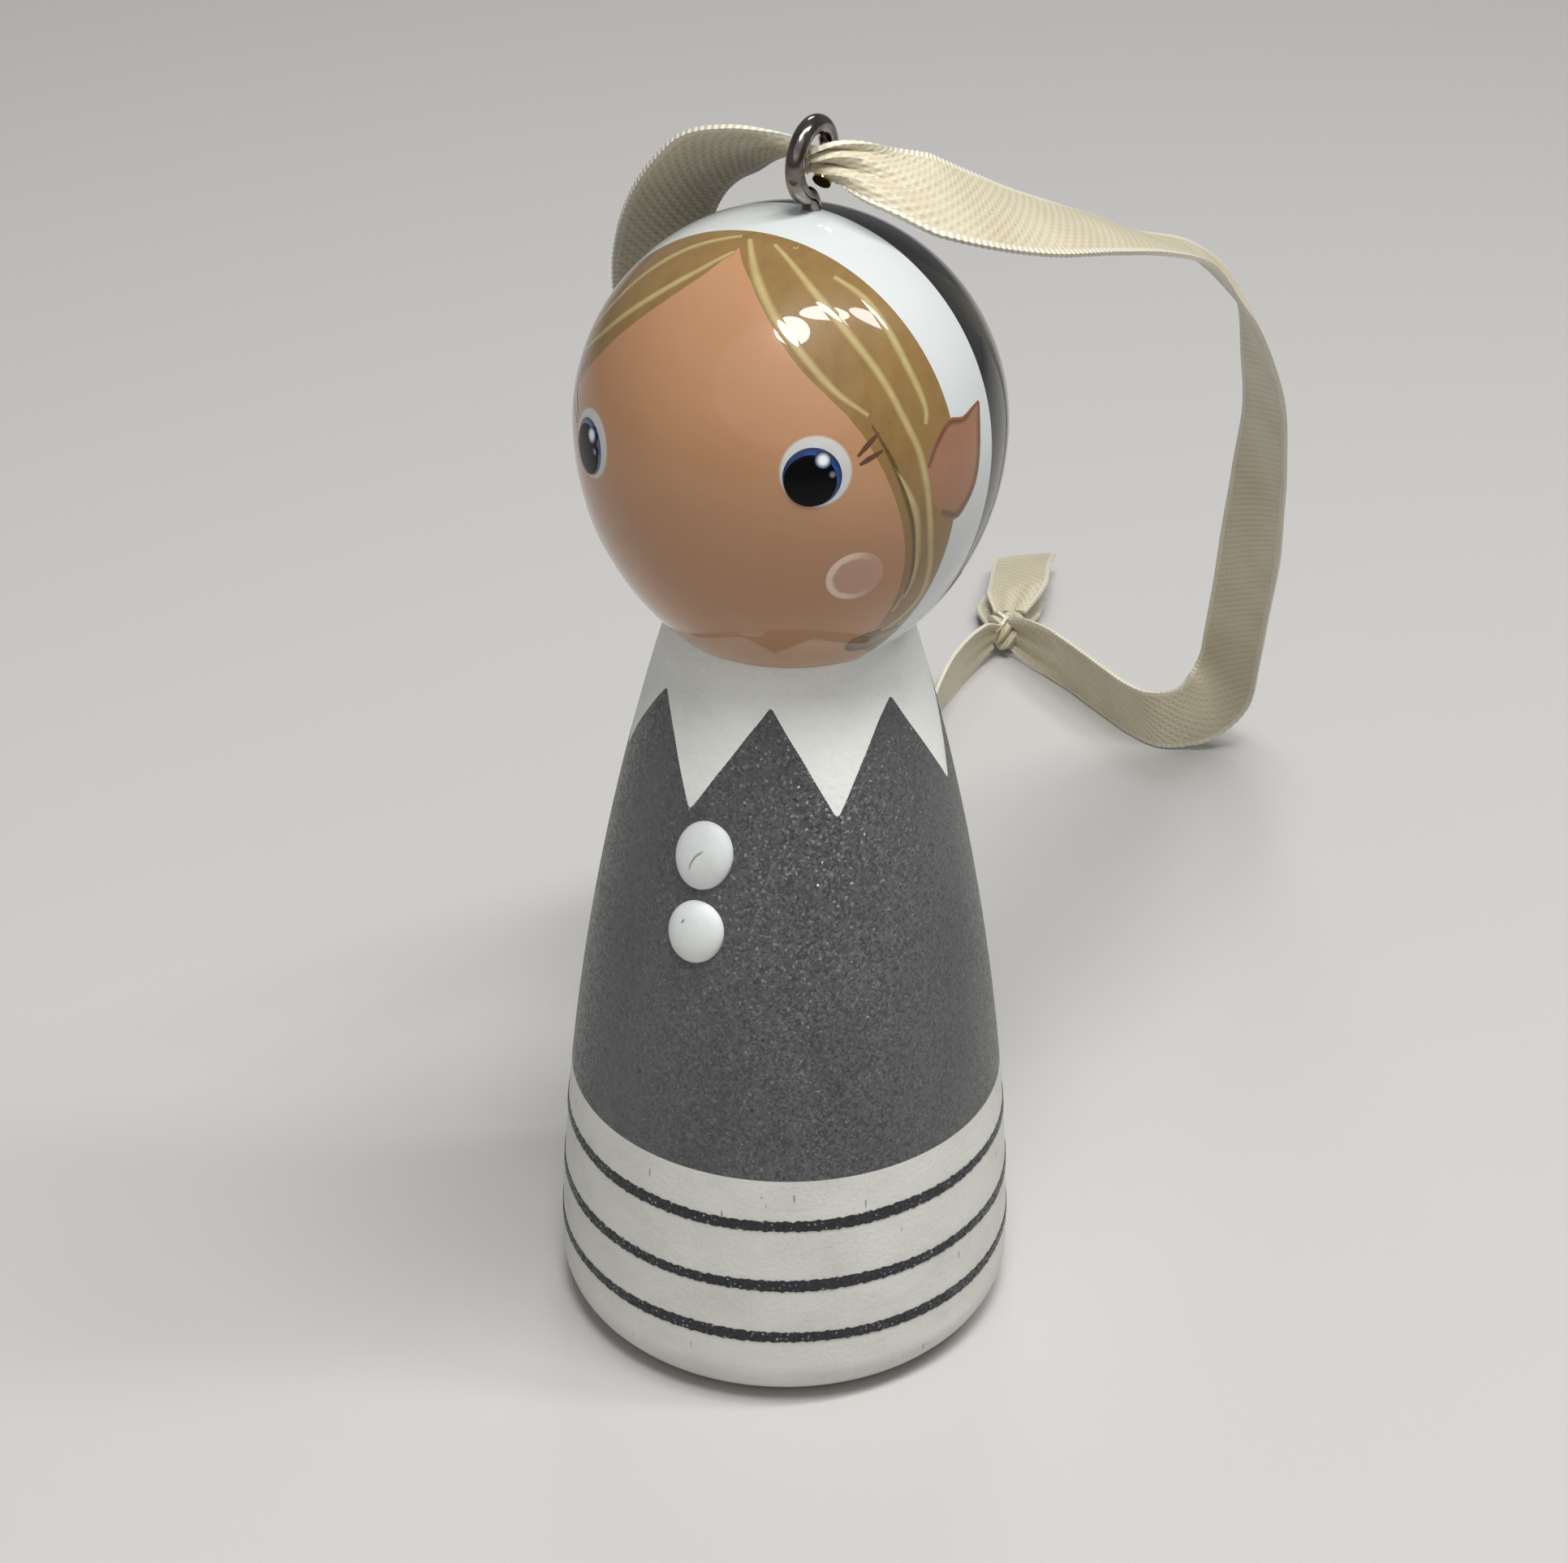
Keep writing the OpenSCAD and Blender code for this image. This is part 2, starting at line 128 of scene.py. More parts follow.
class Value:
    """A number that changes over a surface, on which sums are written as on any number."""

    def __init__(self, finish: "Finish", socket: bpy.types.NodeSocket) -> None:
        """Wrap a socket.

        Args:
            finish: The finish whose nodes the sums join.
            socket: The output socket that gives the number.
        """
        self.finish = finish
        self.socket = socket

    def _sum(self, operation: str, *terms: "Value | float") -> "Value":
        """Add one Math node on these terms."""
        return self.finish.sum(operation, *terms)

    def __add__(self, other: "Value | float") -> "Value":
        """Add."""
        return self._sum("ADD", self, other)

    __radd__ = __add__

    def __sub__(self, other: "Value | float") -> "Value":
        """Take other away."""
        return self._sum("SUBTRACT", self, other)

    def __rsub__(self, other: float) -> "Value":
        """Take this away from other."""
        return self._sum("SUBTRACT", other, self)

    def __mul__(self, other: "Value | float") -> "Value":
        """Multiply."""
        return self._sum("MULTIPLY", self, other)

    __rmul__ = __mul__

    def __truediv__(self, other: "Value | float") -> "Value":
        """Divide by other."""
        return self._sum("DIVIDE", self, other)

    def __abs__(self) -> "Value":
        """Drop the sign."""
        return self._sum("ABSOLUTE", self)

    def sine(self) -> "Value":
        """The sine of this angle in radians."""
        return self._sum("SINE", self)

    def power(self, exponent: float) -> "Value":
        """This to a power."""
        return self._sum("POWER", self, exponent)

    def rise(self, low: float, high: float) -> "Value":
        """Go smoothly from 0 at low to 1 at high.

        Args:
            low: The number that gives 0.
            high: The number that gives 1.

        Returns:
            The eased share.
        """
        node = self.finish.node(
            "ShaderNodeMapRange",
            {"interpolation_type": "SMOOTHSTEP"},
            {"Value": self, "From Min": low, "From Max": high},
        )
        return Value(self.finish, node.outputs[0])


class Finish:
    """A material under way: its nodes, and the values that its patterns read."""

    def __init__(self, name: str, **constants: float) -> None:
        """Start a material with one main shader.

        Args:
            name: The material's name.
            constants: Settings of the shader that are the same all over, by words of the socket.
        """
        self.material = bpy.data.materials.new(name)
        self.material.use_nodes = True
        self.tree = self.material.node_tree
        self.tree.nodes.clear()
        self.shader = self.node("ShaderNodeBsdfPrincipled")
        out = self.node("ShaderNodeOutputMaterial")
        self.tree.links.new(self.shader.outputs[0], out.inputs["Surface"])
        for words, number in constants.items():
            self.shader.inputs[words.replace("_", " ")].default_value = number
        texture = self.node("ShaderNodeTexCoord")
        self.place = self.vector("MULTIPLY", texture.outputs["Object"], (1 / MM, 1 / MM, 1 / MM))
        self.x, self.y, self.z = self.parts(self.place)
        self.along, self.across, _ = self.parts(texture.outputs["UV"])

    def node(
        self,
        kind: str,
        settings: dict[str, object] | None = None,
        sockets: dict[int | str, object] | None = None,
    ) -> bpy.types.Node:
        """Add one node.

        Args:
            kind: The node's type.
            settings: Its settings, which are made first.
            sockets: What each input takes, a link or a plain value.

        Returns:
            The new node.
        """
        node = self.tree.nodes.new(kind)
        for name, setting in (settings or {}).items():
            setattr(node, name, setting)
        for key, item in (sockets or {}).items():
            if isinstance(item, Value):
                item = item.socket
            if isinstance(item, bpy.types.NodeSocket):
                self.tree.links.new(item, node.inputs[key])
            else:
                node.inputs[key].default_value = item
        return node

    def sum(self, operation: str, *terms: "Value | float") -> Value:
        """Add a Math node.

        Args:
            operation: What it does.
            terms: Its inputs in order.

        Returns:
            Its result.
        """
        node = self.node("ShaderNodeMath", {"operation": operation}, dict(enumerate(terms)))
        return Value(self, node.outputs[0])

    def vector(self, operation: str, first: object, second: object) -> bpy.types.NodeSocket:
        """Add a Vector Math node.

        Args:
            operation: What it does.
            first: Its first vector, a link or plain numbers.
            second: Its second vector.

        Returns:
            The socket of its result.
        """
        node = self.node("ShaderNodeVectorMath", {"operation": operation}, {0: first, 1: second})
        return node.outputs["Value"] if operation == "DOT_PRODUCT" else node.outputs[0]

    def parts(self, vector: bpy.types.NodeSocket) -> tuple[Value, ...]:
        """Split a vector into its three numbers."""
        node = self.node("ShaderNodeSeparateXYZ", None, {0: vector})
        return tuple(Value(self, out) for out in node.outputs)

    def cells(self, size: float) -> bpy.types.Node:
        """Scatter points, each with the cell round it, at a spacing in millimetres."""
        return self.node("ShaderNodeTexVoronoi", None, {"Vector": self.place, "Scale": 1 / size})

    def noise(self, size: float, detail: float = 2.0, stretch: Sequence[float] = (1, 1, 1)) -> Value:
        """A soft cloud pattern about 0.

        Args:
            size: The width of its patches in millimetres.
            detail: How many finer layers it has.
            stretch: How much finer it is along each axis.

        Returns:
            A value from about -1 to 1.
        """
        place = self.vector("MULTIPLY", self.place, stretch)
        sockets = {"Vector": place, "Scale": 1 / size, "Detail": detail}
        spread = 2.4
        return (Value(self, self.node("ShaderNodeTexNoise", None, sockets).outputs[0]) - 0.5) * spread

    def grains(self, size: float, share: float, softness: float) -> Value:
        """Scattered specks of unlike strength.

        Args:
            size: The spacing of the places that may hold a speck, in millimetres.
            share: The share of them that do.
            softness: How much of a speck, as a share of the spacing, is its soft edge.

        Returns:
            A value from 0, no speck, to 1.
        """
        cells = self.cells(size)
        tint = self.node("ShaderNodeSeparateColor", None, {0: cells.outputs["Color"]})
        chosen = Value(self, tint.outputs[0]).rise(1 - share, 1)
        reach = 0.3
        return (1 - Value(self, cells.outputs["Distance"]).rise(reach - softness, reach)) * chosen

    def flakes(self, size: float, tilt: float) -> Value:
        """The height of small flat facets that each lean their own way.

        Args:
            size: The width of a facet in millimetres.
            tilt: The steepest slope.

        Returns:
            The height in millimetres.
        """
        cells = self.cells(size)
        off = self.vector("SUBTRACT", self.place, cells.outputs["Position"])
        lean = self.vector("SUBTRACT", cells.outputs["Color"], (0.5, 0.5, 0.5))
        return Value(self, self.vector("DOT_PRODUCT", off, lean)) * (2 * tilt)

    def ticks(self, gap: float, long: float, wide: float) -> Value:
        """Short upright marks, scattered far apart.

        Args:
            gap: The spacing of the places that may hold a mark, in millimetres.
            long: Half a mark's height.
            wide: Half its width.

        Returns:
            A value from 0, no mark, to 1.
        """
        middle = self.cells(gap).outputs["Position"]
        x, y, z = self.parts(self.vector("SUBTRACT", self.place, middle))
        across = (x * x + y * y).power(0.5)
        return (1 - across.rise(wide * 0.3, wide)) * (1 - abs(z).rise(long * 0.5, long))

    def mix(self, first: object, second: object, share: "Value | float") -> bpy.types.NodeSocket:
        """Blend two colours.

        Args:
            first: The colour at share 0, a pigment or a link.
            second: The colour at share 1.
            share: How much of the second shows.

        Returns:
            The colour's socket.
        """
        first, second = (c.linear if isinstance(c, Pigment) else c for c in (first, second))
        node = self.node("ShaderNodeMix", {"data_type": "RGBA"}, {0: share, 6: first, 7: second})
        return node.outputs[2]

    def colour(self, paint: object) -> None:
        """Set the base colour to a pigment or a link."""
        if isinstance(paint, Pigment):
            self.shader.inputs["Base Color"].default_value = paint.linear
        else:
            self.tree.links.new(paint, self.shader.inputs["Base Color"])

    def vary(self, socket: str, value: Value) -> None:
        """Let a value drive one of the shader's sockets."""
        self.tree.links.new(value.socket, self.shader.inputs[socket])

    def relief(self, height: Value, depth: float) -> None:
        """Raise the surface a little.

        Args:
            height: The relief, where 1 is one depth up.
            depth: That depth in millimetres.
        """
        bump = self.node("ShaderNodeBump", None, {"Height": height, "Strength": 1.0, "Distance": depth * MM})
        self.tree.links.new(bump.outputs[0], self.shader.inputs["Normal"])


@dataclass(frozen=True)
class BareWood:
    """Pale turned wood with its growth rings, seen where the paint ends."""

    ring_gap: float = 1.7
    heart: tuple[float, float] = (3.0, -2.0)

    def make(self) -> bpy.types.Material:
        """Build the material."""
        finish = Finish("bare_wood_finish", Roughness=0.62)
        off_x, off_y = finish.x - self.heart[0], finish.y - self.heart[1]
        wander = finish.noise(9.0, 3.0, (1, 1, 0.2))
        radius = (off_x * off_x + off_y * off_y).power(0.5) + wander * 0.9
        ring = (radius * (2 * math.pi / self.ring_gap)).sine().rise(0.1, 1.0)
        pores = finish.noise(0.22, 2.0, (1, 1, 0.15))
        shade = finish.mix(Pigment.WOOD, Pigment.WOOD_RING, ring * 0.6 + pores.rise(0.2, 1.0) * 0.35)
        finish.colour(shade)
        finish.relief(pores + ring * 0.5, 0.02)
        return finish.material


@dataclass(frozen=True)
class GlossPaint:
    """Acrylic paint under clear varnish, a little uneven from the brush."""

    name: str
    main: Pigment
    other: Pigment
    patch: float = 5.0
    share: float = 0.35
    stretch: tuple[float, float, float] = (1, 1, 1)
    roughness: float = 0.32
    coat: float = 1.0

    def begin(self) -> tuple[Finish, bpy.types.NodeSocket]:
        """Build the varnished paint.

        Returns:
            The finish and its colour, for more to be painted over it.
        """
        finish = Finish(self.name, Specular_IOR_Level=0.12, Coat_Weight=self.coat, **VARNISH)
        patches = finish.noise(self.patch, 3.0, self.stretch)
        fine = finish.noise(0.5, 2.0, self.stretch)
        share = (patches * 0.5 + 0.5) * self.share + fine * 0.06
        shade = finish.mix(self.main, self.other, share.rise(0.0, 1.0))
        finish.vary("Roughness", fine * 0.04 + self.roughness)
        finish.relief(finish.noise(3.2, 2.0) + fine * 0.12, 0.014)
        return finish, shade

    def make(self) -> bpy.types.Material:
        """Build the material."""
        finish, shade = self.begin()
        finish.colour(shade)
        return finish.material


@dataclass(frozen=True)
class StrokePaint(GlossPaint):
    """Thin brush paint whose edges fade into the colour beneath."""

    stroke: Pigment = Pigment.HAIR_LIGHT
    strength: float = 0.85

    def make(self) -> bpy.types.Material:
        """Build the material."""
        finish, shade = self.begin()
        middle = 1 - abs(finish.across).rise(0.1, 1.0)
        worn = finish.noise(0.9, 2.0) * 0.22 + 0.86
        finish.colour(finish.mix(shade, self.stroke, middle * worn * self.strength))
        return finish.material


@dataclass(frozen=True)
class DabPaint(GlossPaint):
    """Varnished paint of a round dab, whose rim fades into the colour beneath."""

    beneath: Pigment = Pigment.SKIN
    fade: float = 0.85

    def make(self) -> bpy.types.Material:
        """Build the material."""
        finish, shade = self.begin()
        finish.colour(finish.mix(shade, self.beneath, finish.along.rise(self.fade, 1.0)))
        return finish.material


@dataclass(frozen=True)
class IrisPaint:
    """Blue paint, darker toward its rim."""

    def make(self) -> bpy.types.Material:
        """Build the material."""
        finish = Finish("iris_finish", Roughness=0.3, Coat_Weight=1.0, **VARNISH)
        brush = finish.noise(0.5)
        rim = (finish.along + brush * 0.15).rise(0.7, 1.0)
        finish.colour(finish.mix(Pigment.IRIS, Pigment.IRIS_RIM, rim))
        finish.relief(brush, 0.006)
        return finish.material


@dataclass(frozen=True)
class CheekPaint:
    """A sheer pink dab with a pale crescent on the side toward the nose."""

    side: Side

    def make(self) -> bpy.types.Material:
        """Build the material."""
        finish = Finish(f"cheek_{self.side.word}_finish", Coat_Weight=1.0, **VARNISH)
        brush = finish.noise(0.7)
        inward = (finish.across * -0.9 * self.side.value + 0.1).rise(-0.55, 0.5)
        ring = (finish.along + brush * 0.05).rise(0.66, 0.8)
        edge = 1 - finish.along.rise(0.92, 1.0)
        pink = finish.mix(Pigment.SKIN, Pigment.CHEEK, edge * 0.75 + brush * 0.1)
        finish.colour(finish.mix(pink, Pigment.CHEEK_RIM, ring * inward * edge * 0.8))
        finish.relief(brush, 0.006)
        return finish.material


@dataclass(frozen=True)
class ChalkPaint:
    """Soft white paint with a faint grain, duller where hands have been.

    The scratches are given by their spacing, half their height and half their width.
    """

    name: str
    main: Pigment
    dull: Pigment
    roughness: float = 0.55
    grain: float = 0.02
    marks: float = 0.0
    scratches: tuple[float, float, float] = (2.4, 0.45, 0.12)

    def make(self) -> bpy.types.Material:
        """Build the material."""
        finish = Finish(self.name, Coat_Weight=0.12, Coat_Roughness=0.35)
        cloud = finish.noise(5.0, 3.0, (1, 1, 1.6))
        fine = finish.noise(0.35, 3.0)
        white = finish.mix(self.main, self.dull, (cloud * 0.5 + fine * 0.18 + 0.3).rise(0.0, 1.2))
        ticks = finish.ticks(*self.scratches)
        finish.colour(finish.mix(white, Pigment.SCRATCH, ticks * self.marks))
        finish.vary("Roughness", fine * 0.06 + self.roughness)
        finish.relief(fine + cloud * 0.8 - ticks * self.marks * 2, self.grain)
        return finish.material


@dataclass(frozen=True)
class MicaPaint:
    """Grey paint with a fine stipple and grains of mica that catch the light.

    The dark red specks are given by their spacing, half their height and half their width.
    """

    name: str
    main: Pigment
    dark: Pigment
    mica: Pigment
    share: float = 0.35
    roughness: float = 0.4
    stipple: float = 0.05
    tilt: float = 0.7
    fleck: float = 0.35
    grain: float = 0.2
    worn: float = 0.0
    grain_edge: float = 0.1
    flake: float = 0.19
    specks: tuple[float, float, float] = (4.0, 0.2, 0.16)

    def make(self) -> bpy.types.Material:
        """Build the material."""
        finish = Finish(self.name, Coat_Weight=0.16, Coat_Roughness=0.2, Specular_IOR_Level=0.4)
        cloud = finish.noise(7.0, 3.0, (1, 1, 0.5))
        pits = finish.noise(0.55, 3.0)
        fine = finish.noise(0.2, 2.0, (1, 1, 0.6))
        grains = finish.grains(self.grain, self.share, self.grain_edge)
        flakes = finish.flakes(self.flake, self.tilt) / self.stipple
        dull = (cloud * 0.45 + pits * 0.35 + fine * 0.4 + 0.4).rise(0.0, 1.0)
        flecked = finish.mix(finish.mix(self.main, self.dark, dull), self.mica, grains * self.fleck)
        finish.colour(finish.mix(flecked, Pigment.SPECK, finish.ticks(*self.specks) * self.worn))
        finish.vary("Roughness", fine * 0.05 + pits * 0.04 - grains * 0.14 + self.roughness)
        finish.vary("Metallic", grains * 0.6 + 0.12)
        finish.relief(pits * 0.8 + fine * 0.4 + flakes, self.stipple)
        return finish.material


@dataclass(frozen=True)
class ButtonPaint:
    """Thick white paint with a scratch.

    The scratch is given by its middle, half its length, its lean in degrees, how strongly it
    bends, and how far from its middle line it starts and ends to fade.
    """

    name: str
    scratch_at: tuple[float, float]
    scratch_half: float
    scratch_tilt: float
    scratch_bend: float = 0.25
    scratch_side: tuple[float, float] = (0.02, 0.11)

    def make(self) -> bpy.types.Material:
        """Build the material."""
        finish = Finish(self.name, Roughness=0.5, Coat_Weight=0.1, Coat_Roughness=0.4)
        fine = finish.noise(0.4, 3.0)
        cloud = finish.noise(2.2, 2.0)
        off_x, off_z = finish.x - self.scratch_at[0], finish.z - self.scratch_at[1]
        turn = math.radians(self.scratch_tilt)
        run = off_x * math.cos(turn) + off_z * math.sin(turn)
        wide = off_z * math.cos(turn) - off_x * math.sin(turn) + run * run * self.scratch_bend
        line = 1 - (abs(wide) + fine * 0.04).rise(*self.scratch_side)
        ends = 1 - abs(run).rise(self.scratch_half * 0.6, self.scratch_half)
        scratch = line * ends
        white = finish.mix(Pigment.BUTTON, Pigment.CHALK_DULL, (cloud * 0.5 + 0.2).rise(0, 1.5))
        finish.colour(finish.mix(white, Pigment.SCRATCH, scratch * 0.75))
        finish.relief(fine * 0.5 + cloud - scratch * 2.0, 0.02)
        return finish.material


@dataclass(frozen=True)
class DarkNickel:
    """Plated steel wire, browned in places, with drawing marks and a bare brassy cut end.

    The cut is given by the ring's middle, y and z, the way out of the ring across the cut, how
    far along that way it lies, and the depths and heights at which the bare end begins.
    """

    middle: tuple[float, float] = (1.8, 93.31)
    cut_way: tuple[float, float] = (-0.829, -0.559)
    cut_from: tuple[float, float] = (-0.3, -0.2)
    bare_y: tuple[float, float] = (2.52, 2.6)
    bare_z: tuple[float, float] = (90.4, 90.6)

    def make(self) -> bpy.types.Material:
        """Build the material."""
        finish = Finish("dark_nickel_finish", Metallic=1.0)
        stain = finish.noise(1.6, 3.0)
        marks = finish.noise(0.12, 2.0)
        shade = finish.mix(Pigment.STEEL, Pigment.STEEL_DARK, (stain * 0.5 + 0.4).rise(0.0, 1.0))
        off_y, off_z = finish.y - self.middle[0], finish.z - self.middle[1]
        beyond = (off_y * self.cut_way[0] + off_z * self.cut_way[1]).rise(*self.cut_from)
        cut_end = beyond * finish.y.rise(*self.bare_y) * finish.z.rise(*self.bare_z)
        finish.colour(finish.mix(shade, Pigment.BRASS, cut_end))
        finish.vary("Roughness", marks * 0.03 + stain * 0.04 + 0.13)
        finish.relief(marks * 0.5 + stain * 2.0, 0.003)
        return finish.material


@dataclass(frozen=True)
class Twill:
    """Satin ribbon with slanting ribs and a looped edge; its UV map is in millimetres."""

    rib: float = 0.62
    slant: float = 38.0
    edge: tuple[float, float] = (2.95, 3.15)
    loop_gap: float = 0.5

    def make(self) -> bpy.types.Material:
        """Build the material."""
        finish = Finish("ribbon_finish", Sheen_Weight=0.12, Sheen_Roughness=0.35)
        turn = math.radians(self.slant)
        wave = 2 * math.pi / self.rib
        ribs = ((finish.along * math.sin(turn) + finish.across * math.cos(turn)) * wave).sine()
        threads = ((finish.along * math.cos(turn) - finish.across * math.sin(turn)) * wave * 0.85).sine()
        edge = abs(finish.across).rise(*self.edge)
        loops = (finish.along * (2 * math.pi / self.loop_gap)).sine()
        cloud = finish.noise(6.0, 3.0)
        weave = ribs * (threads * 0.5 + 0.5) * (1 - edge) + loops * edge
        dark = (weave * -0.3 + cloud * 0.35 + 0.4).rise(0.0, 1.0)
        shade = finish.mix(Pigment.RIBBON, Pigment.RIBBON_DEEP, dark)
        finish.colour(finish.mix(shade, Pigment.RIBBON_EDGE, edge * 0.6))
        finish.vary("Roughness", weave * -0.05 + cloud * 0.04 + 0.4)
        finish.relief(weave + cloud * 0.5, 0.03)
        return finish.material


def let_go() -> None:
    """Leave object mode's selection empty, because an operator acts on all that is selected."""
    if bpy.context.mode != "OBJECT":
        bpy.ops.object.mode_set(mode="OBJECT")
    bpy.ops.object.select_all(action="DESELECT")


def hold(piece: bpy.types.Object) -> bpy.types.Object:
    """Select one piece alone and make it active."""
    let_go()
    piece.select_set(True)
    bpy.context.view_layer.objects.active = piece
    return piece


def edit(piece: bpy.types.Object) -> None:
    """Open a piece in edit mode with all of it selected."""
    hold(piece)
    bpy.ops.object.mode_set(mode="EDIT")
    bpy.ops.mesh.select_all(action="SELECT")


def close_up(piece: bpy.types.Object, gap: float = 0.0005 * MM) -> bpy.types.Object:
    """Merge a piece's doubles, turn its faces outwards and leave edit mode."""
    edit(piece)
    bpy.ops.mesh.remove_doubles(threshold=gap)
    bpy.ops.mesh.normals_make_consistent(inside=False)
    let_go()
    return piece


def named(piece: bpy.types.Object, name: str) -> bpy.types.Object:
    """Name a piece and its mesh."""
    piece.name = name
    piece.data.name = name
    return piece


def twin(piece: bpy.types.Object, name: str) -> bpy.types.Object:
    """Copy a piece with a mesh of its own."""
    copy = piece.copy()
    copy.data = piece.data.copy()
    bpy.context.collection.objects.link(copy)
    return named(copy, name)


def drop(*pieces: bpy.types.Object) -> None:
    """Throw away helpers that were only cutting tools or blanks."""
    for piece in pieces:
        bpy.data.objects.remove(piece, do_unlink=True)


def apply(piece: bpy.types.Object, kind: str, **settings: object) -> None:
    """Add a modifier, set it and apply it.

    Args:
        piece: The piece it shapes.
        kind: The modifier's type.
        settings: Its settings by name.
    """
    hold(piece)
    modifier = piece.modifiers.new(kind.lower(), kind)
    for name, setting in settings.items():
        setattr(modifier, name, setting)
    bpy.ops.object.modifier_apply(modifier=modifier.name)


def smooth(piece: bpy.types.Object, degrees: float) -> bpy.types.Object:
    """Shade a piece smoothly, except across edges that are sharper than an angle."""
    hold(piece)
    bpy.ops.object.shade_smooth_by_angle(angle=math.radians(degrees))
    return piece


def carve(piece: bpy.types.Object, tool: bpy.types.Object, cut: Cut) -> None:
    """Cut a piece with a tool, which is kept."""
    apply(piece, "BOOLEAN", object=tool, operation=cut.value, solver="EXACT")


def block(name: str, place: Vector, normal: Vector) -> bpy.types.Object:
    """Make a block that fills the space ahead of a plane.

    Args:
        name: The tool's name.
        place: A point of the plane.
        normal: The way that the plane faces.

    Returns:
        The tool.
    """
    let_go()
    size = 60 * MM
    bpy.ops.mesh.primitive_cube_add(
        size=size,
        location=place + normal * size / 2,
        rotation=normal.to_track_quat("Z", "Y").to_euler(),
    )
    bpy.ops.object.transform_apply(location=True, rotation=True, scale=True)
    return named(bpy.context.active_object, name)


def lathe(name: str, outline: Sequence[tuple[float, float]], steps: int = 256) -> bpy.types.Object:
    """Turn a closed outline round the upright axis.

    Args:
        name: The piece's name.
        outline: Its points as radius and height, in order; the last is joined to the first.
        steps: How many flats make the round.

    Returns:
        The closed piece.
    """
    let_go()
    bpy.ops.mesh.primitive_plane_add(size=MM)
    piece = named(bpy.context.active_object, name)
    edit(piece)
    bpy.ops.mesh.merge(type="CENTER")
    bpy.ops.transform.translate(value=(outline[0][0], 0, outline[0][1]))
    loop = [*outline[1:], outline[0]] if outline[0][0] or outline[-1][0] else outline[1:]
    r, z = outline[0]
    for r_next, z_next in loop:
        bpy.ops.mesh.extrude_region_move(TRANSFORM_OT_translate={"value": (r_next - r, 0, z_next - z)})
        r, z = r_next, z_next
    bpy.ops.mesh.select_all(action="SELECT")
    bpy.ops.mesh.spin(steps=steps, angle=2 * math.pi, center=(0, 0, 0), axis=(0, 0, 1))
    return close_up(piece)


def skin_over(piece: bpy.types.Object, outside: Callable[[Vector], Vector | None]) -> None:
    """Shade a carved piece smoothly, with the true normal of the surface that it was cut from.

    Args:
        piece: The piece.
        outside: Gives the true normal at a point on the outer surface, and None elsewhere.
    """
    smooth(piece, 40)
    mesh = piece.data
    normals = [Vector(c.vector) for c in mesh.corner_normals]
    for face in mesh.polygons:
        for corner in face.loop_indices:
            true = outside(mesh.vertices[mesh.loops[corner].vertex_index].co)
            if true is not None and true.dot(face.normal) > 0.7:
                normals[corner] = true
    mesh.normals_split_custom_set([tuple(n) for n in normals])


def finish_piece(
    piece: bpy.types.Object, paint: bpy.types.Material, slot: str, *nodes: str
) -> bpy.types.Object:
    """Give a piece its material, attach it to the root body and hide the CAD nodes that it stands for.

    Args:
        piece: The piece.
        paint: Its material.
        slot: The name of its material slot; not used.
        nodes: The CAD nodes that it replaces.

    Returns:
        The piece.
    """
    piece.data.materials.clear()
    piece.data.materials.append(paint)
    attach(piece, "root")
    if nodes:
        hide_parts(*nodes)
    log.info("%s: %d faces", piece.name, len(piece.data.polygons))
    return piece


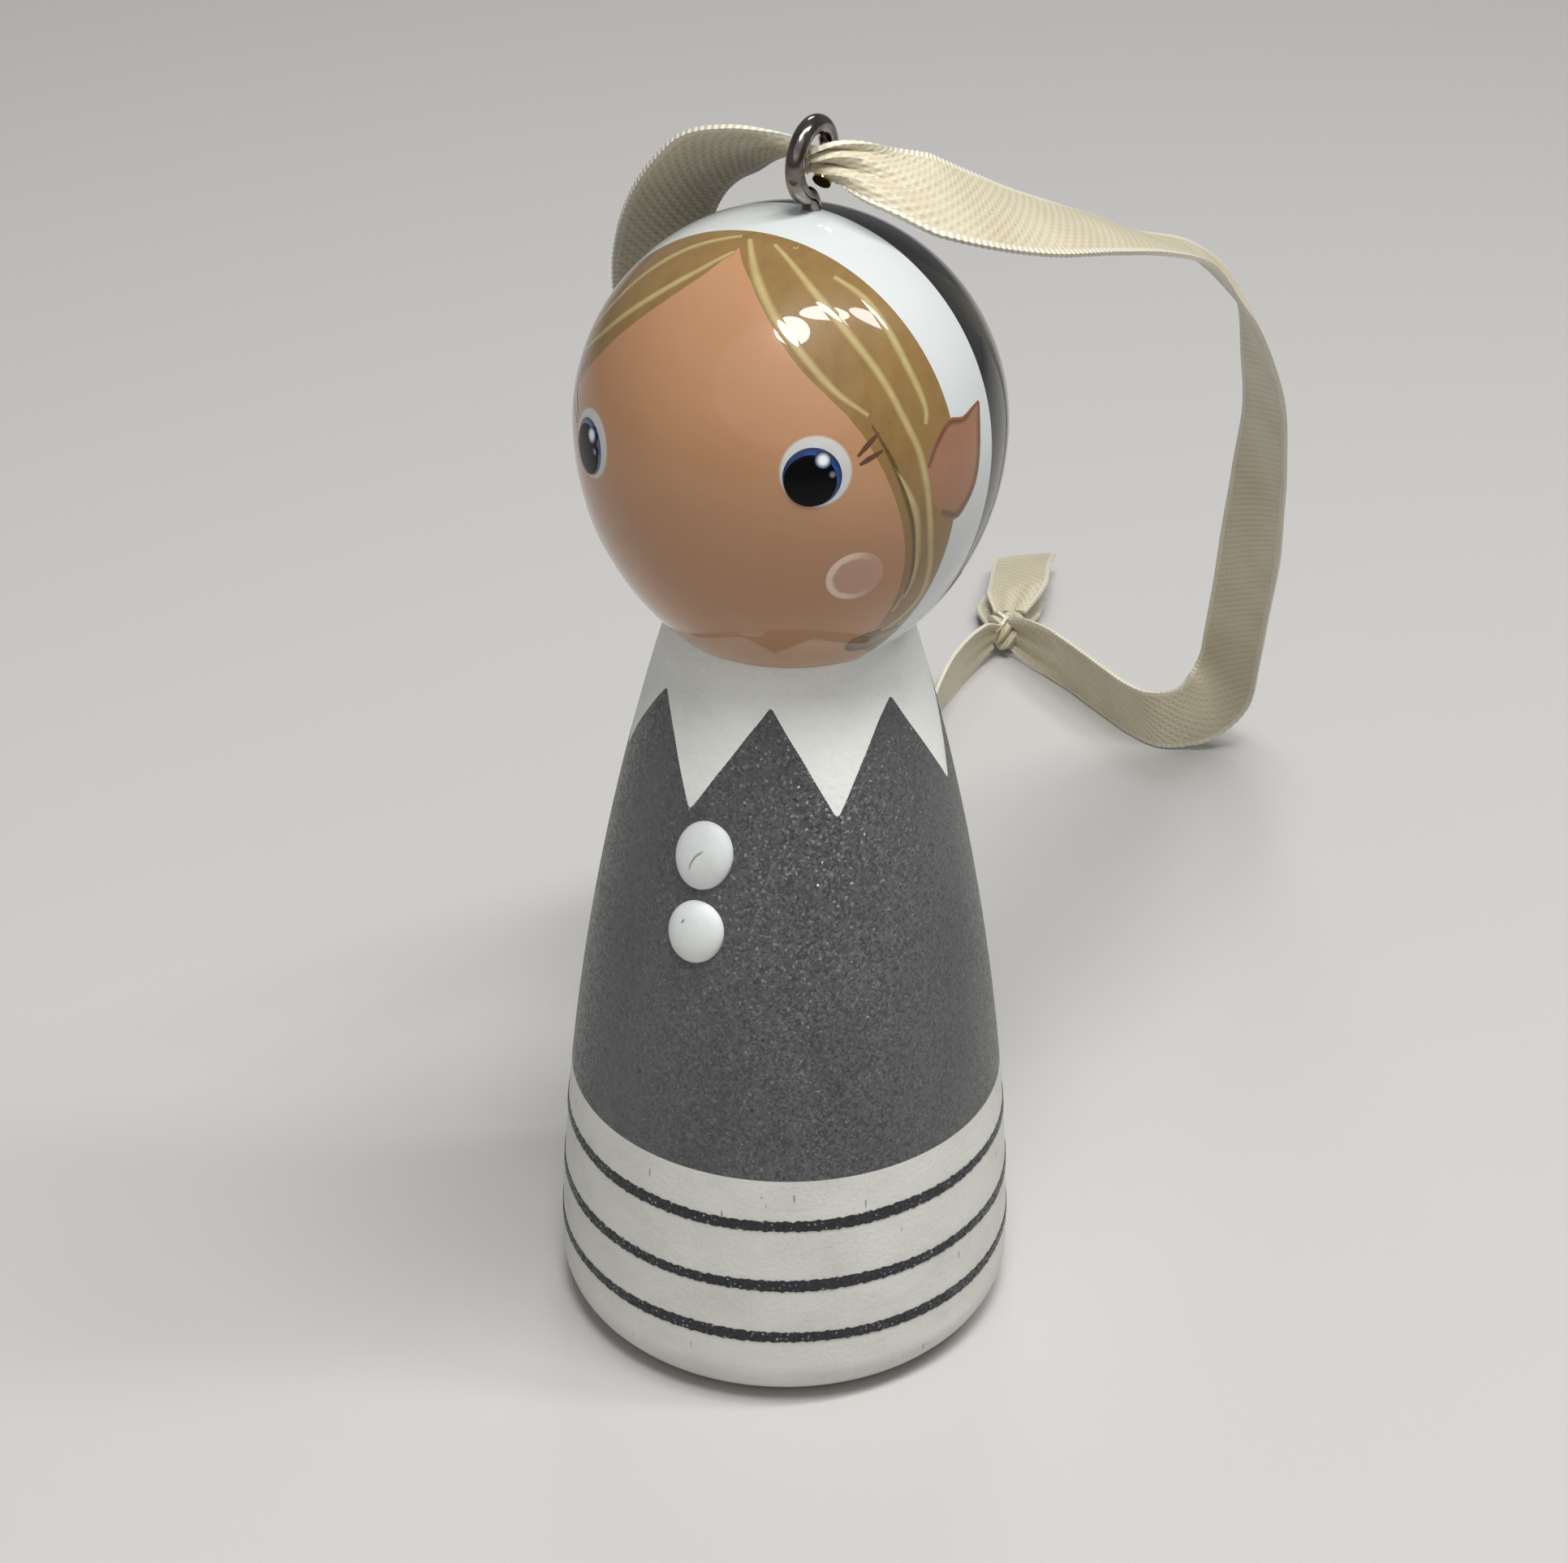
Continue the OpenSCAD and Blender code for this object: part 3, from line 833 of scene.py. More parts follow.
@dataclass(frozen=True)
class PegOutline:
    """The turned outline of the peg as it is painted, made of arcs.

    Each arc has a radius and a middle: the head's top, the jaw, the flare of the body and the
    round of the foot above the flat sole. A point within touch of the outline is on it.
    """

    head_r: float = 15.2 * MM
    head_z: float = 74.8 * MM
    jaw_r: float = 20.3 * MM
    neck_z: float = 60 * MM
    flare_r: float = 216.9 * MM
    flare_x: float = -198.9 * MM
    flare_z: float = -2.5 * MM
    round_r: float = 3.8 * MM
    sole_r: float = 14.107 * MM
    coat: float = 0.25 * MM
    touch: float = 0.02 * MM

    @property
    def jaw_x(self) -> float:
        """Radius at which the jaw's arc has its centre, behind the axis."""
        return self.head_r - self.jaw_r

    @property
    def centre(self) -> Vector:
        """The middle of the head."""
        return Vector((0, 0, self.head_z))

    def radius(self, z: float, inset: float = 0.0) -> float:
        """The outline's radius at a height.

        Args:
            z: The height.
            inset: How far inside the painted surface.

        Returns:
            The radius.
        """
        if z > self.head_z:
            return math.sqrt(max(0.0, (self.head_r - inset) ** 2 - (z - self.head_z) ** 2))
        if z > self.neck_z:
            return self.jaw_x + math.sqrt(max(0.0, (self.jaw_r - inset) ** 2 - (z - self.head_z) ** 2))
        side = self.flare_x + math.sqrt((self.flare_r - inset) ** 2 - (z - self.flare_z) ** 2)
        if z > self.round_r:
            return side
        foot = self.sole_r + math.sqrt(max(0.0, (self.round_r - inset) ** 2 - (z - self.round_r) ** 2))
        return min(side, foot)

    def normal(self, place: Vector, body: bool = False) -> Vector:
        """The direction straight out of the painted surface.

        Args:
            place: A point on or near the surface.
            body: Whether the point is on the body, at heights that it shares with the head.

        Returns:
            The unit normal.
        """
        r = math.hypot(place.x, place.y)
        out = Vector((place.x, place.y, 0)) / max(r, TINY)
        if body or place.z <= self.neck_z:
            if place.z < self.round_r and r > self.sole_r:
                return ((r - self.sole_r) * out + (place.z - self.round_r) * UP).normalized()
            return ((r - self.flare_x) * out + (place.z - self.flare_z) * UP).normalized()
        if place.z > self.head_z:
            return (place - self.centre).normalized()
        return ((r - self.jaw_x) * out + (place.z - self.head_z) * UP).normalized()

    def rest_on(self, place: Vector) -> Vector:
        """Move a point straight in or out until it lies on the painted surface."""
        if place.z > self.head_z:
            return self.centre + (place - self.centre).normalized() * self.head_r
        scale = self.radius(place.z) / max(math.hypot(place.x, place.y), TINY)
        return Vector((place.x * scale, place.y * scale, place.z))

    def front(self, x: float, z: float) -> Vector:
        """The point on the front of the surface at x and z."""
        return Vector((x, -math.sqrt(max(0.0, self.radius(z) ** 2 - x * x)), z))

    def flank(self, y: float, z: float, side: Side) -> Vector:
        """The point on one side of the surface at y and z."""
        return Vector((side.value * math.sqrt(max(0.0, self.radius(z) ** 2 - y * y)), y, z))

    def at(self, turn: float, z: float) -> Vector:
        """The point at a turn from the front, in degrees toward the doll's left, and a height."""
        angle = math.radians(turn)
        r = self.radius(z)
        return Vector((r * math.sin(angle), -r * math.cos(angle), z))

    def on_head(self, place: Vector) -> Vector | None:
        """The normal at a point of the head's outer surface, and None inside it."""
        off = abs(math.hypot(place.x, place.y) - self.radius(max(place.z, self.neck_z + 100 * TINY)))
        if place.z > self.head_z:
            off = abs((place - self.centre).length - self.head_r)
        above_neck = place.z > self.neck_z - 1000 * TINY
        return self.normal(place + TINY * UP) if off < self.touch and above_neck else None

    def on_body(self, place: Vector) -> Vector | None:
        """The normal at a point of the body's outer surface, and None inside it."""
        off = abs(math.hypot(place.x, place.y) - self.radius(min(place.z, self.neck_z)))
        return self.normal(place, body=True) if off < self.touch else None


PEG = PegOutline()
Spot = Vector | float


def blend(a: Spot, b: Spot, c: Spot, d: Spot, t: float) -> Spot:
    """The place at share t from b to c on the smooth curve that a, b, c and d lie on."""
    return 0.5 * (2 * b + (c - a) * t + (2 * a - 5 * b + 4 * c - d) * t**2 + (3 * b - a - 3 * c + d) * t**3)


def smooth_line(points: Sequence[Vector], spacing: float) -> list[Vector]:
    """Run one smooth curve through points.

    Args:
        points: The points in order.
        spacing: The rough distance between the places on the curve.

    Returns:
        Places along it, the first and last point among them.
    """
    ends = [2 * points[0] - points[1], *points, 2 * points[-1] - points[-2]]
    line = []
    for a, b, c, d in zip(ends, ends[1:], ends[2:], ends[3:]):
        steps = max(2, round((c - b).length / spacing))
        line += [blend(a, b, c, d, step / steps) for step in range(steps)]
    return [*line, points[-1].copy()]


@dataclass(frozen=True)
class Stroke:
    """A brush stroke on the head, given by the places that it runs through, in millimetres.

    A place is x and z on the front, or y and z on the flank. The widths stand at even shares of
    the stroke's length. The stroke rises by its lift in the middle, and its edges are sunk.
    """

    name: str
    places: tuple[tuple[float, float], ...]
    widths: tuple[float, ...]
    flank: Side | None = None
    lift: float = 0.02
    sunk: float = 0.004
    thick: float = 0.04
    spacing: float = 0.25
    columns: int = 7

    def make(self) -> bpy.types.Object:
        """Lay the stroke on the head.

        Returns:
            A thin closed piece, whose UV map has -1 and 1 at the stroke's edges.
        """
        if self.flank:
            points = [PEG.flank(y * MM, z * MM, self.flank) for y, z in self.places]
        else:
            points = [PEG.front(x * MM, z * MM) for x, z in self.places]
        line = [PEG.rest_on(p) for p in smooth_line(points, self.spacing * MM)]
        rows, columns = len(line), self.columns
        let_go()
        bpy.ops.mesh.primitive_grid_add(x_subdivisions=columns - 1, y_subdivisions=rows - 1, size=MM)
        piece = named(bpy.context.active_object, self.name)
        grid = sorted(piece.data.vertices, key=lambda v: (round(v.co.y, 9), round(v.co.x, 9)))
        share_of = {}
        for row in range(rows):
            way = (line[min(row + 1, rows - 1)] - line[max(row - 1, 0)]).normalized()
            up = PEG.normal(line[row])
            side = up.cross(way).normalized()
            t = row / (rows - 1) * (len(self.widths) - 1)
            k = min(int(t), len(self.widths) - 2)
            half = 0.5 * MM * (self.widths[k] + (self.widths[k + 1] - self.widths[k]) * (t - k))
            for column in range(columns):
                v = 2 * column / (columns - 1) - 1
                vertex = grid[row * columns + column]
                flat = PEG.rest_on(line[row] + side * v * half)
                vertex.co = flat + up * MM * (self.lift * (1 - v * v) - self.sunk)
                share_of[vertex.index] = (row / (rows - 1), v)
        sheet = piece.data.uv_layers[0].data
        for loop in piece.data.loops:
            sheet[loop.index].uv = share_of[loop.vertex_index]
        face = piece.data.polygons[len(piece.data.polygons) // 2]
        if face.normal.dot(PEG.normal(face.center)) < 0:
            edit(piece)
            bpy.ops.mesh.flip_normals()
            let_go()
        apply(piece, "SOLIDIFY", thickness=self.thick * MM, offset=-1.0)
        return smooth(piece, 60)


@dataclass(frozen=True)
class Dab:
    """A round dab of thick paint on the peg, in millimetres.

    It stands at a turn from the front and a height. Its crown has a rim that is the steeper the
    larger edge is, and lies on a base that is sunk into the surface. Broad, tall and lean
    stretch its outline.
    """

    name: str
    turn: float
    height: float
    width: float
    thick: float
    lift: float = 0.0
    edge: float = 4.0
    sides: int = 64
    rings: int = 10
    broad: float = 1.0
    tall: float = 1.0
    lean: float = 0.0
    sunk: float = 0.01
    base: float = 0.1

    def make(self) -> bpy.types.Object:
        """Drop the dab on the surface.

        Returns:
            A thin closed piece. Its UV map holds the share of the way to the rim, and the place
            across the dab, from -1 at the doll's right.
        """
        let_go()
        radius = self.width / 2 * MM
        bpy.ops.mesh.primitive_circle_add(vertices=self.sides, radius=radius, fill_type="NGON")
        piece = named(bpy.context.active_object, self.name)
        edit(piece)
        fine_rings, fine, step = 3, 0.35, 0.93 * radius / (self.rings - 1.95)
        for ring in range(self.rings - 1):
            bpy.ops.mesh.inset(thickness=step * (fine if ring < fine_rings else 1.0))
        bpy.ops.mesh.poke()
        let_go()
        middle = PEG.at(self.turn, self.height * MM)
        up = PEG.normal(middle)
        side = UP.cross(up).normalized()
        rise = up.cross(side)
        flat = {v.index: v.co.copy() for v in piece.data.vertices}
        for vertex in piece.data.vertices:
            spot = flat[vertex.index]
            rho = min(1.0, spot.length / radius)
            crown = (1 - rho**self.edge) ** 0.5 if rho < 1 else 0.0
            out_x = spot.x * self.broad + spot.y * self.lean
            out_y = spot.y * self.tall + spot.x * self.lean
            place = PEG.rest_on(middle + side * out_x + rise * out_y)
            vertex.co = place + PEG.normal(place) * MM * (self.lift - self.sunk + self.thick * crown)
        if not piece.data.uv_layers:
            piece.data.uv_layers.new(name="UVMap")
        sheet = piece.data.uv_layers[0].data
        for loop in piece.data.loops:
            spot = flat[loop.vertex_index]
            sheet[loop.index].uv = (spot.length / radius, spot.x / radius)
        apply(piece, "SOLIDIFY", thickness=self.base * MM, offset=-1.0)
        return smooth(piece, 50)


def wedge(name: str, rim: Sequence[Vector], sweep: Vector) -> bpy.types.Object:
    """Make a prism-shaped cutting tool from a flat outline.

    Args:
        name: The tool's name.
        rim: The outline's points in order.
        sweep: How far and which way the outline is drawn out.

    Returns:
        The tool.
    """
    let_go()
    bpy.ops.mesh.primitive_circle_add(vertices=len(rim), radius=MM, fill_type="NGON")
    tool = named(bpy.context.active_object, name)
    for vertex, place in zip(tool.data.vertices, rim):
        vertex.co = place
    edit(tool)
    bpy.ops.mesh.extrude_region_move(TRANSFORM_OT_translate={"value": tuple(sweep)})
    return close_up(tool)


@dataclass
class PaintedHead:
    """The varnished coats of paint on the head, cut apart where one colour meets the next.

    The face lies below the parting, x and z, and between the inner edges of the locks, which are
    arcs. Leaning planes end the hair and the band, and a slanting one the locks. Each ear has an
    outline in y and z.
    """

    curtain_r: float = 14.0
    curtain_shift: float = 1.1
    curtain_z: float = 72.3
    curtain_low: float = 58.4
    parting: tuple[tuple[float, float], ...] = (
        (-10.45, 80.2), (-7.8, 83.2), (-5.7, 85.15), (-3.9, 86.65), (-2.4, 87.9), (-1.25, 89.1),
        (1.0, 88.0), (2.9, 86.75), (4.7, 85.3), (6.5, 83.85), (8.05, 82.65), (9.5, 81.35), (10.45, 80.2),
    )
    hair_y: float = -3.66
    hair_lean: float = 0.03
    hood_y: float = 0.6
    hood_lean: float = 0.1
    hair_end: tuple[float, float] = (-8.0, 63.3)
    hair_end_slope: float = 0.65
    ear_edge: tuple[tuple[float, float], ...] = (
        (-3.85, 79.3), (-2.4, 79.1), (-1.2, 79.4), (-0.2, 79.6), (-0.8, 78.3), (-1.15, 76.9),
        (-1.55, 75.2), (-2.05, 74.05), (-2.8, 73.2), (-3.6, 72.7), (-5.0, 73.4), (-6.0, 74.6),
        (-6.35, 75.8), (-6.1, 77.0), (-5.3, 78.2),
    )

    def outline(self) -> list[tuple[float, float]]:
        """The shell's outline, down the outside from the crown and up the inside."""
        def run(inset: float) -> list[tuple[float, float]]:
            """One surface from the neck up to the crown, this far in from the painted one."""
            jaw_steps, dome_steps = 36, 60
            jaw = [PEG.neck_z + (PEG.head_z - PEG.neck_z) * k / jaw_steps for k in range(jaw_steps + 1)]
            sides = [(PEG.radius(z + TINY, inset), z) for z in jaw]
            r = PEG.head_r - inset
            turns = [math.pi / 2 * k / dome_steps for k in range(1, dome_steps)]
            dome = [(r * math.cos(a), PEG.head_z + r * math.sin(a)) for a in turns]
            return [*sides, *dome, (0.0, PEG.head_z + r)]

        return run(0.0)[::-1] + run(PEG.coat)

    def curtain(self, z: float) -> float:
        """How far the face reaches to each side at a height."""
        return math.sqrt(self.curtain_r**2 - (z - self.curtain_z) ** 2) - self.curtain_shift

    def face_tool(self) -> bpy.types.Object:
        """The tool with the outline of the face, drawn out to the front."""
        brow_z, low, steps = self.parting[-1][1], self.curtain_low, 60
        heights = [brow_z + (low - brow_z) * math.sin(math.pi / 2 * k / steps) for k in range(1, steps + 1)]
        sides = [(self.curtain(z), z) for z in heights]
        rim = [*self.parting, *sides, *((-x, z) for x, z in reversed(sides))]
        behind, reach = 0.5, 18
        return wedge("face_tool", [Vector((x, behind, z)) * MM for x, z in rim], reach * MM * FRONT)

    def ear_tool(self, side: Side) -> bpy.types.Object:
        """The tool with the outline of one ear, drawn out to that side."""
        start, reach, spacing = 8, 9, 0.3
        ring = [Vector((start * side.value, y, z)) for y, z in self.ear_edge]
        line = smooth_line([*ring, ring[0]], spacing)[:-1]
        return wedge(f"ear_tool_{side.word}", [p * MM for p in line], Vector((reach * MM * side.value, 0, 0)))

    def edge_plane(self, y: float, lean: float) -> tuple[Vector, Vector]:
        """A plane across the head, as a point and a normal to the back."""
        return Vector((0, y * MM, PEG.head_z)), Vector((0, 1, -lean)).normalized()

    def build(self) -> dict[str, bpy.types.Object]:
        """Cut the shell of paint into its coats.

        Returns:
            The coats by node.
        """
        shell = lathe("head_shell", self.outline())
        ears = [self.ear_tool(side) for side in Side]
        face = self.face_tool()
        behind_hair = block("hair_block", *self.edge_plane(self.hair_y, self.hair_lean))
        behind_band = block("band_block", *self.edge_plane(self.hood_y, self.hood_lean))

        hood = twin(shell, "hood_coat")
        carve(hood, behind_band, Cut.KEEP_INSIDE)
        band = twin(shell, "hat_band_coat")
        carve(band, behind_band, Cut.TAKE_AWAY)
        carve(band, behind_hair, Cut.KEEP_INSIDE)
        front = twin(shell, "front")
        carve(front, behind_hair, Cut.TAKE_AWAY)

        end = Vector((0, *self.hair_end)) * MM
        locks = block("locks_tool", end, Vector((0, self.hair_end_slope, 1)).normalized())
        carve(locks, face, Cut.TAKE_AWAY)

        hair = twin(front, "hair_coat")
        carve(hair, locks, Cut.KEEP_INSIDE)
        skin = twin(front, "face_skin_coat")
        carve(skin, locks, Cut.TAKE_AWAY)
        coats = {"face_skin": skin, "hair": hair, "hat_band": band, "hood": hood}
        for side, tool in zip(Side, ears):
            ear = twin(shell, f"ear_{side.word}_coat")
            carve(ear, tool, Cut.KEEP_INSIDE)
            coats[f"ear_{side.word}"] = ear
            for coat in (hair, band):
                carve(coat, tool, Cut.TAKE_AWAY)
        drop(shell, front, locks, face, behind_hair, behind_band, *ears)
        for coat in coats.values():
            skin_over(coat, PEG.on_head)
        return coats

    def dress(self) -> None:
        """Build the coats and give each its paint."""
        coats = self.build()
        skin = GlossPaint("face_skin_finish", Pigment.SKIN, Pigment.SKIN_WARM, 6.0, 0.5)
        ear = GlossPaint("ear_finish", Pigment.SKIN_EAR, Pigment.SKIN_WARM, 2.0, 0.6)
        locks = GlossPaint("hair_finish", Pigment.HAIR, Pigment.HAIR_DARK, 2.2, 0.55, (2.2, 1.2, 0.6))
        band = GlossPaint("hat_band_finish", Pigment.BAND, Pigment.CHALK, 6.0, 0.3)
        hood = GlossPaint("hood_finish", Pigment.HOOD, Pigment.HOOD_DEEP, 5.0, 0.6)
        for name, paint, slot in (
            ("face_skin", skin, "skin_paint"),
            ("hair", locks, "hair_paint"),
            ("hat_band", band, "varnished_white"),
            ("hood", hood, "hood_paint"),
            ("ear_left", ear, "skin_paint"),
            ("ear_right", ear, "skin_paint"),
        ):
            finish_piece(coats[name], paint.make(), slot, name)


@dataclass
class PaintedFace:
    """Eyes, lashes, cheeks, and the strokes in the hair and round the ears.

    Iris, pupil and glints are given by their turn and height from the eye's middle, and their
    width. A lash runs from one turn and height to another.
    """

    eye_turn: float = 35.0
    eye_z: float = 77.9
    white: tuple[float, float, float] = (0, 0, 5.05)
    iris: tuple[float, float, float] = (-0.9, -0.3, 3.95)
    pupil: tuple[float, float, float] = (-1.4, -0.55, 3.5)
    glints: tuple[tuple[str, float, float, float, Pigment], ...] = (
        ("glint", 1.8, 0.8, 1.15, Pigment.GLINT),
        ("glint_small", 4.1, -0.15, 0.5, Pigment.SCRATCH),
    )
    lash_lines: tuple[tuple[str, tuple[float, float], tuple[float, float]], ...] = (
        ("upper", (46.0, 78.7), (52.4, 80.0)),
        ("lower", (46.4, 78.15), (53.0, 78.85)),
    )
    cheek_turn: float = 46.0
    cheek_z: float = 69.85
    cheek_w: float = 4.2
    right_drop: float = 1.8

    def dip(self, side: Side) -> float:
        """How much lower this side of the face is painted, in millimetres."""
        return self.right_drop if side is Side.RIGHT else 0.0

    def eyes(self, side: Side) -> None:
        """Paint one eye in its three layers and its glints."""
        word = side.word
        turn, height = self.eye_turn * side.value, self.eye_z - self.dip(side)
        white = DabPaint(f"eye_white_{word}_finish", Pigment.EYE_WHITE, Pigment.BAND, 1.0, 0.4, fade=0.9)
        black = GlossPaint(f"pupil_{word}_finish", Pigment.PUPIL, Pigment.PUPIL, 1.0, 0.2, coat=0.15)
        for layer, (along, up, width), thick, lift, paint, slot in (
            ("eye_white", self.white, 0.06, 0.0, white, "varnished_white"),
            ("iris", self.iris, 0.03, 0.06, IrisPaint(), "iris_paint"),
            ("pupil", self.pupil, 0.03, 0.1, black, "pupil_paint"),
        ):
            piece = Dab(f"{layer}_{word}_dab", turn + along, height + up, width, thick, lift).make()
            finish_piece(piece, paint.make(), slot, f"{layer}_{word}")
        rim = Pigment.IRIS_RIM
        for name, along, up, width, light in self.glints:
            glint = DabPaint(f"{name}_{word}_finish", light, light, 1.0, 0.3, beneath=rim, fade=0.3)
            piece = Dab(f"{name}_{word}", turn + along, height + up, width, 0.02, 0.165, 2.0, 32, 6).make()
            finish_piece(piece, glint.make(), "varnished_white")

    def lashes(self, side: Side) -> None:
        """Draw the two lashes at the outer corner of one eye."""
        paint = GlossPaint(f"lash_{side.word}_finish", Pigment.LASH, Pigment.HAIR_DARK, 1.0, 0.3)
        for name, start, end in self.lash_lines:
            a, b = (PEG.at(side.value * turn, (z - self.dip(side)) * MM) for turn, z in (start, end))
            places = tuple(((a + (b - a) * t).x / MM, (a + (b - a) * t).z / MM) for t in (0, 0.3, 0.6, 1))
            piece = Stroke(f"lash_{name}_{side.word}", places, (0.22, 0.42, 0.38, 0.2)).make()
            finish_piece(piece, paint.make(), "hair_paint")

    def cheek(self, side: Side) -> None:
        """Paint one cheek."""
        turn, height = self.cheek_turn * side.value, self.cheek_z - self.dip(side)
        piece = Dab(f"cheek_{side.word}_dab", turn, height, self.cheek_w, 0.04).make()
        finish_piece(piece, CheekPaint(side).make(), "cheek_paint", f"cheek_{side.word}")

    def ear_line(self, side: Side) -> None:
        """Draw the brown line along the top of one ear and down its back."""
        edge = PaintedHead().ear_edge
        for name, places, widths in (
            ("top", (edge[-2], edge[-1], *edge[:4]), (0.4, 0.6, 0.65, 0.5, 0.25)),
            ("back", edge[3:11], (0.3, 0.6, 0.55, 0.6, 0.75, 0.9, 0.6)),
        ):
            paint = StrokePaint(
                f"ear_line_{name}_{side.word}_finish", Pigment.SKIN_EAR, Pigment.HAIR_DARK, 1.0, 0.3,
                stroke=Pigment.OUTLINE,
            )
            piece = Stroke(f"ear_line_{name}_{side.word}", places, widths, side).make()
            finish_piece(piece, paint.make(), "hair_paint")

    def strands(self) -> None:
        """Draw the light strokes in the hair, and the dark edge and the curl of each side lock."""
        middle, cheek = (0.5, 0.8, 0.9, 0.8, 0.5), (0.3, 0.8, 0.85, 0.75, 0.4)
        for name, places, widths in (
            ("right_outer", ((-1.7, 89.4), (-5.2, 88.2), (-7.9, 86.3), (-10, 84), (-11.6, 81.8)), middle),
            ("right_inner", ((-1.4, 88.9), (-3.5, 87.6), (-6.3, 85.6), (-9.5, 82.8), (-11.9, 80.3)), middle),
            (
                "part",
                ((-1, 89.4), (0.9, 88.4), (2.7, 87.2), (4.4, 86), (6.8, 84.2), (8.7, 82.6), (10.6, 81.1)),
                (0.5, 0.95, 0.9, 0.8, 0.4),
            ),
            (
                "long",
                (
                    (0.9, 89.4), (4.7, 87.9), (7.7, 85.9), (10.5, 83.2), (12.3, 80.4), (13.2, 78.4),
                    (13.7, 76.3), (13.9, 73.6), (13.8, 71.2), (13.4, 68.7), (12.7, 66.6), (11.7, 65),
                    (10.4, 63.7),
                ),
                (0.4, 0.9, 0.8, 0.75, 0.8, 0.75, 0.5),
            ),
            ("rear", ((5.6, 88.2), (8.1, 86.9), (11.3, 83.6), (12.9, 80.9), (13.2, 79.8)), middle),
            (
                "cheek",
                (
                    (12.4, 77.5), (13, 75.9), (13.4, 74), (13.4, 72.1), (13.1, 69.7), (12.5, 67.7),
                    (11.4, 65.7),
                ),
                cheek,
            ),
            (
                "right_cheek",
                (
                    (-12.8, 78.5), (-13.7, 75.9), (-14, 73.4), (-13.9, 71), (-13.4, 68.7), (-12.5, 66.4),
                    (-11.4, 64.9),
                ),
                cheek,
            ),
        ):
            name = f"strand_{name}"
            paint = StrokePaint(f"{name}_finish", Pigment.HAIR, Pigment.HAIR_DARK, 2.2, 0.55, (2.2, 1.2, 0.6))
            finish_piece(Stroke(name, places, widths).make(), paint.make(), "hair_paint")
        for side in Side:
            for name, places, widths, main, stroke in (
                (
                    "curl",
                    ((11, 63.6), (10.4, 63.05), (9.7, 62.8), (9.15, 62.9), (8.75, 63.15)),
                    (0.5, 1.6, 2.3, 2.8, 3.2, 3.3, 3.1, 2.5, 1.0),
                    Pigment.HAIR_EDGE,
                    Pigment.HAIR,
                ),
                (
                    "lock_edge",
                    (
                        (10.9, 80.5), (12.1, 78.3), (12.85, 76), (13.25, 73.4), (13.2, 71), (12.7, 68.4),
                        (11.8, 66.2),
                    ),
                    (0.3, 0.7, 0.6, 0.6, 0.65, 0.3),
                    Pigment.HAIR,
                    Pigment.HAIR_EDGE,
                ),
            ):
                places = tuple((x * side.value, z) for x, z in places)
                paint = StrokePaint(f"{name}_{side.word}_finish", main, main, 2.2, 0.3, stroke=stroke)
                finish_piece(Stroke(f"{name}_{side.word}", places, widths).make(), paint.make(), "hair_paint")

    def dress(self) -> None:
        """Paint both sides of the face."""
        for side in Side:
            self.eyes(side)
            self.lashes(side)
            self.cheek(side)
            self.ear_line(side)
        self.strands()


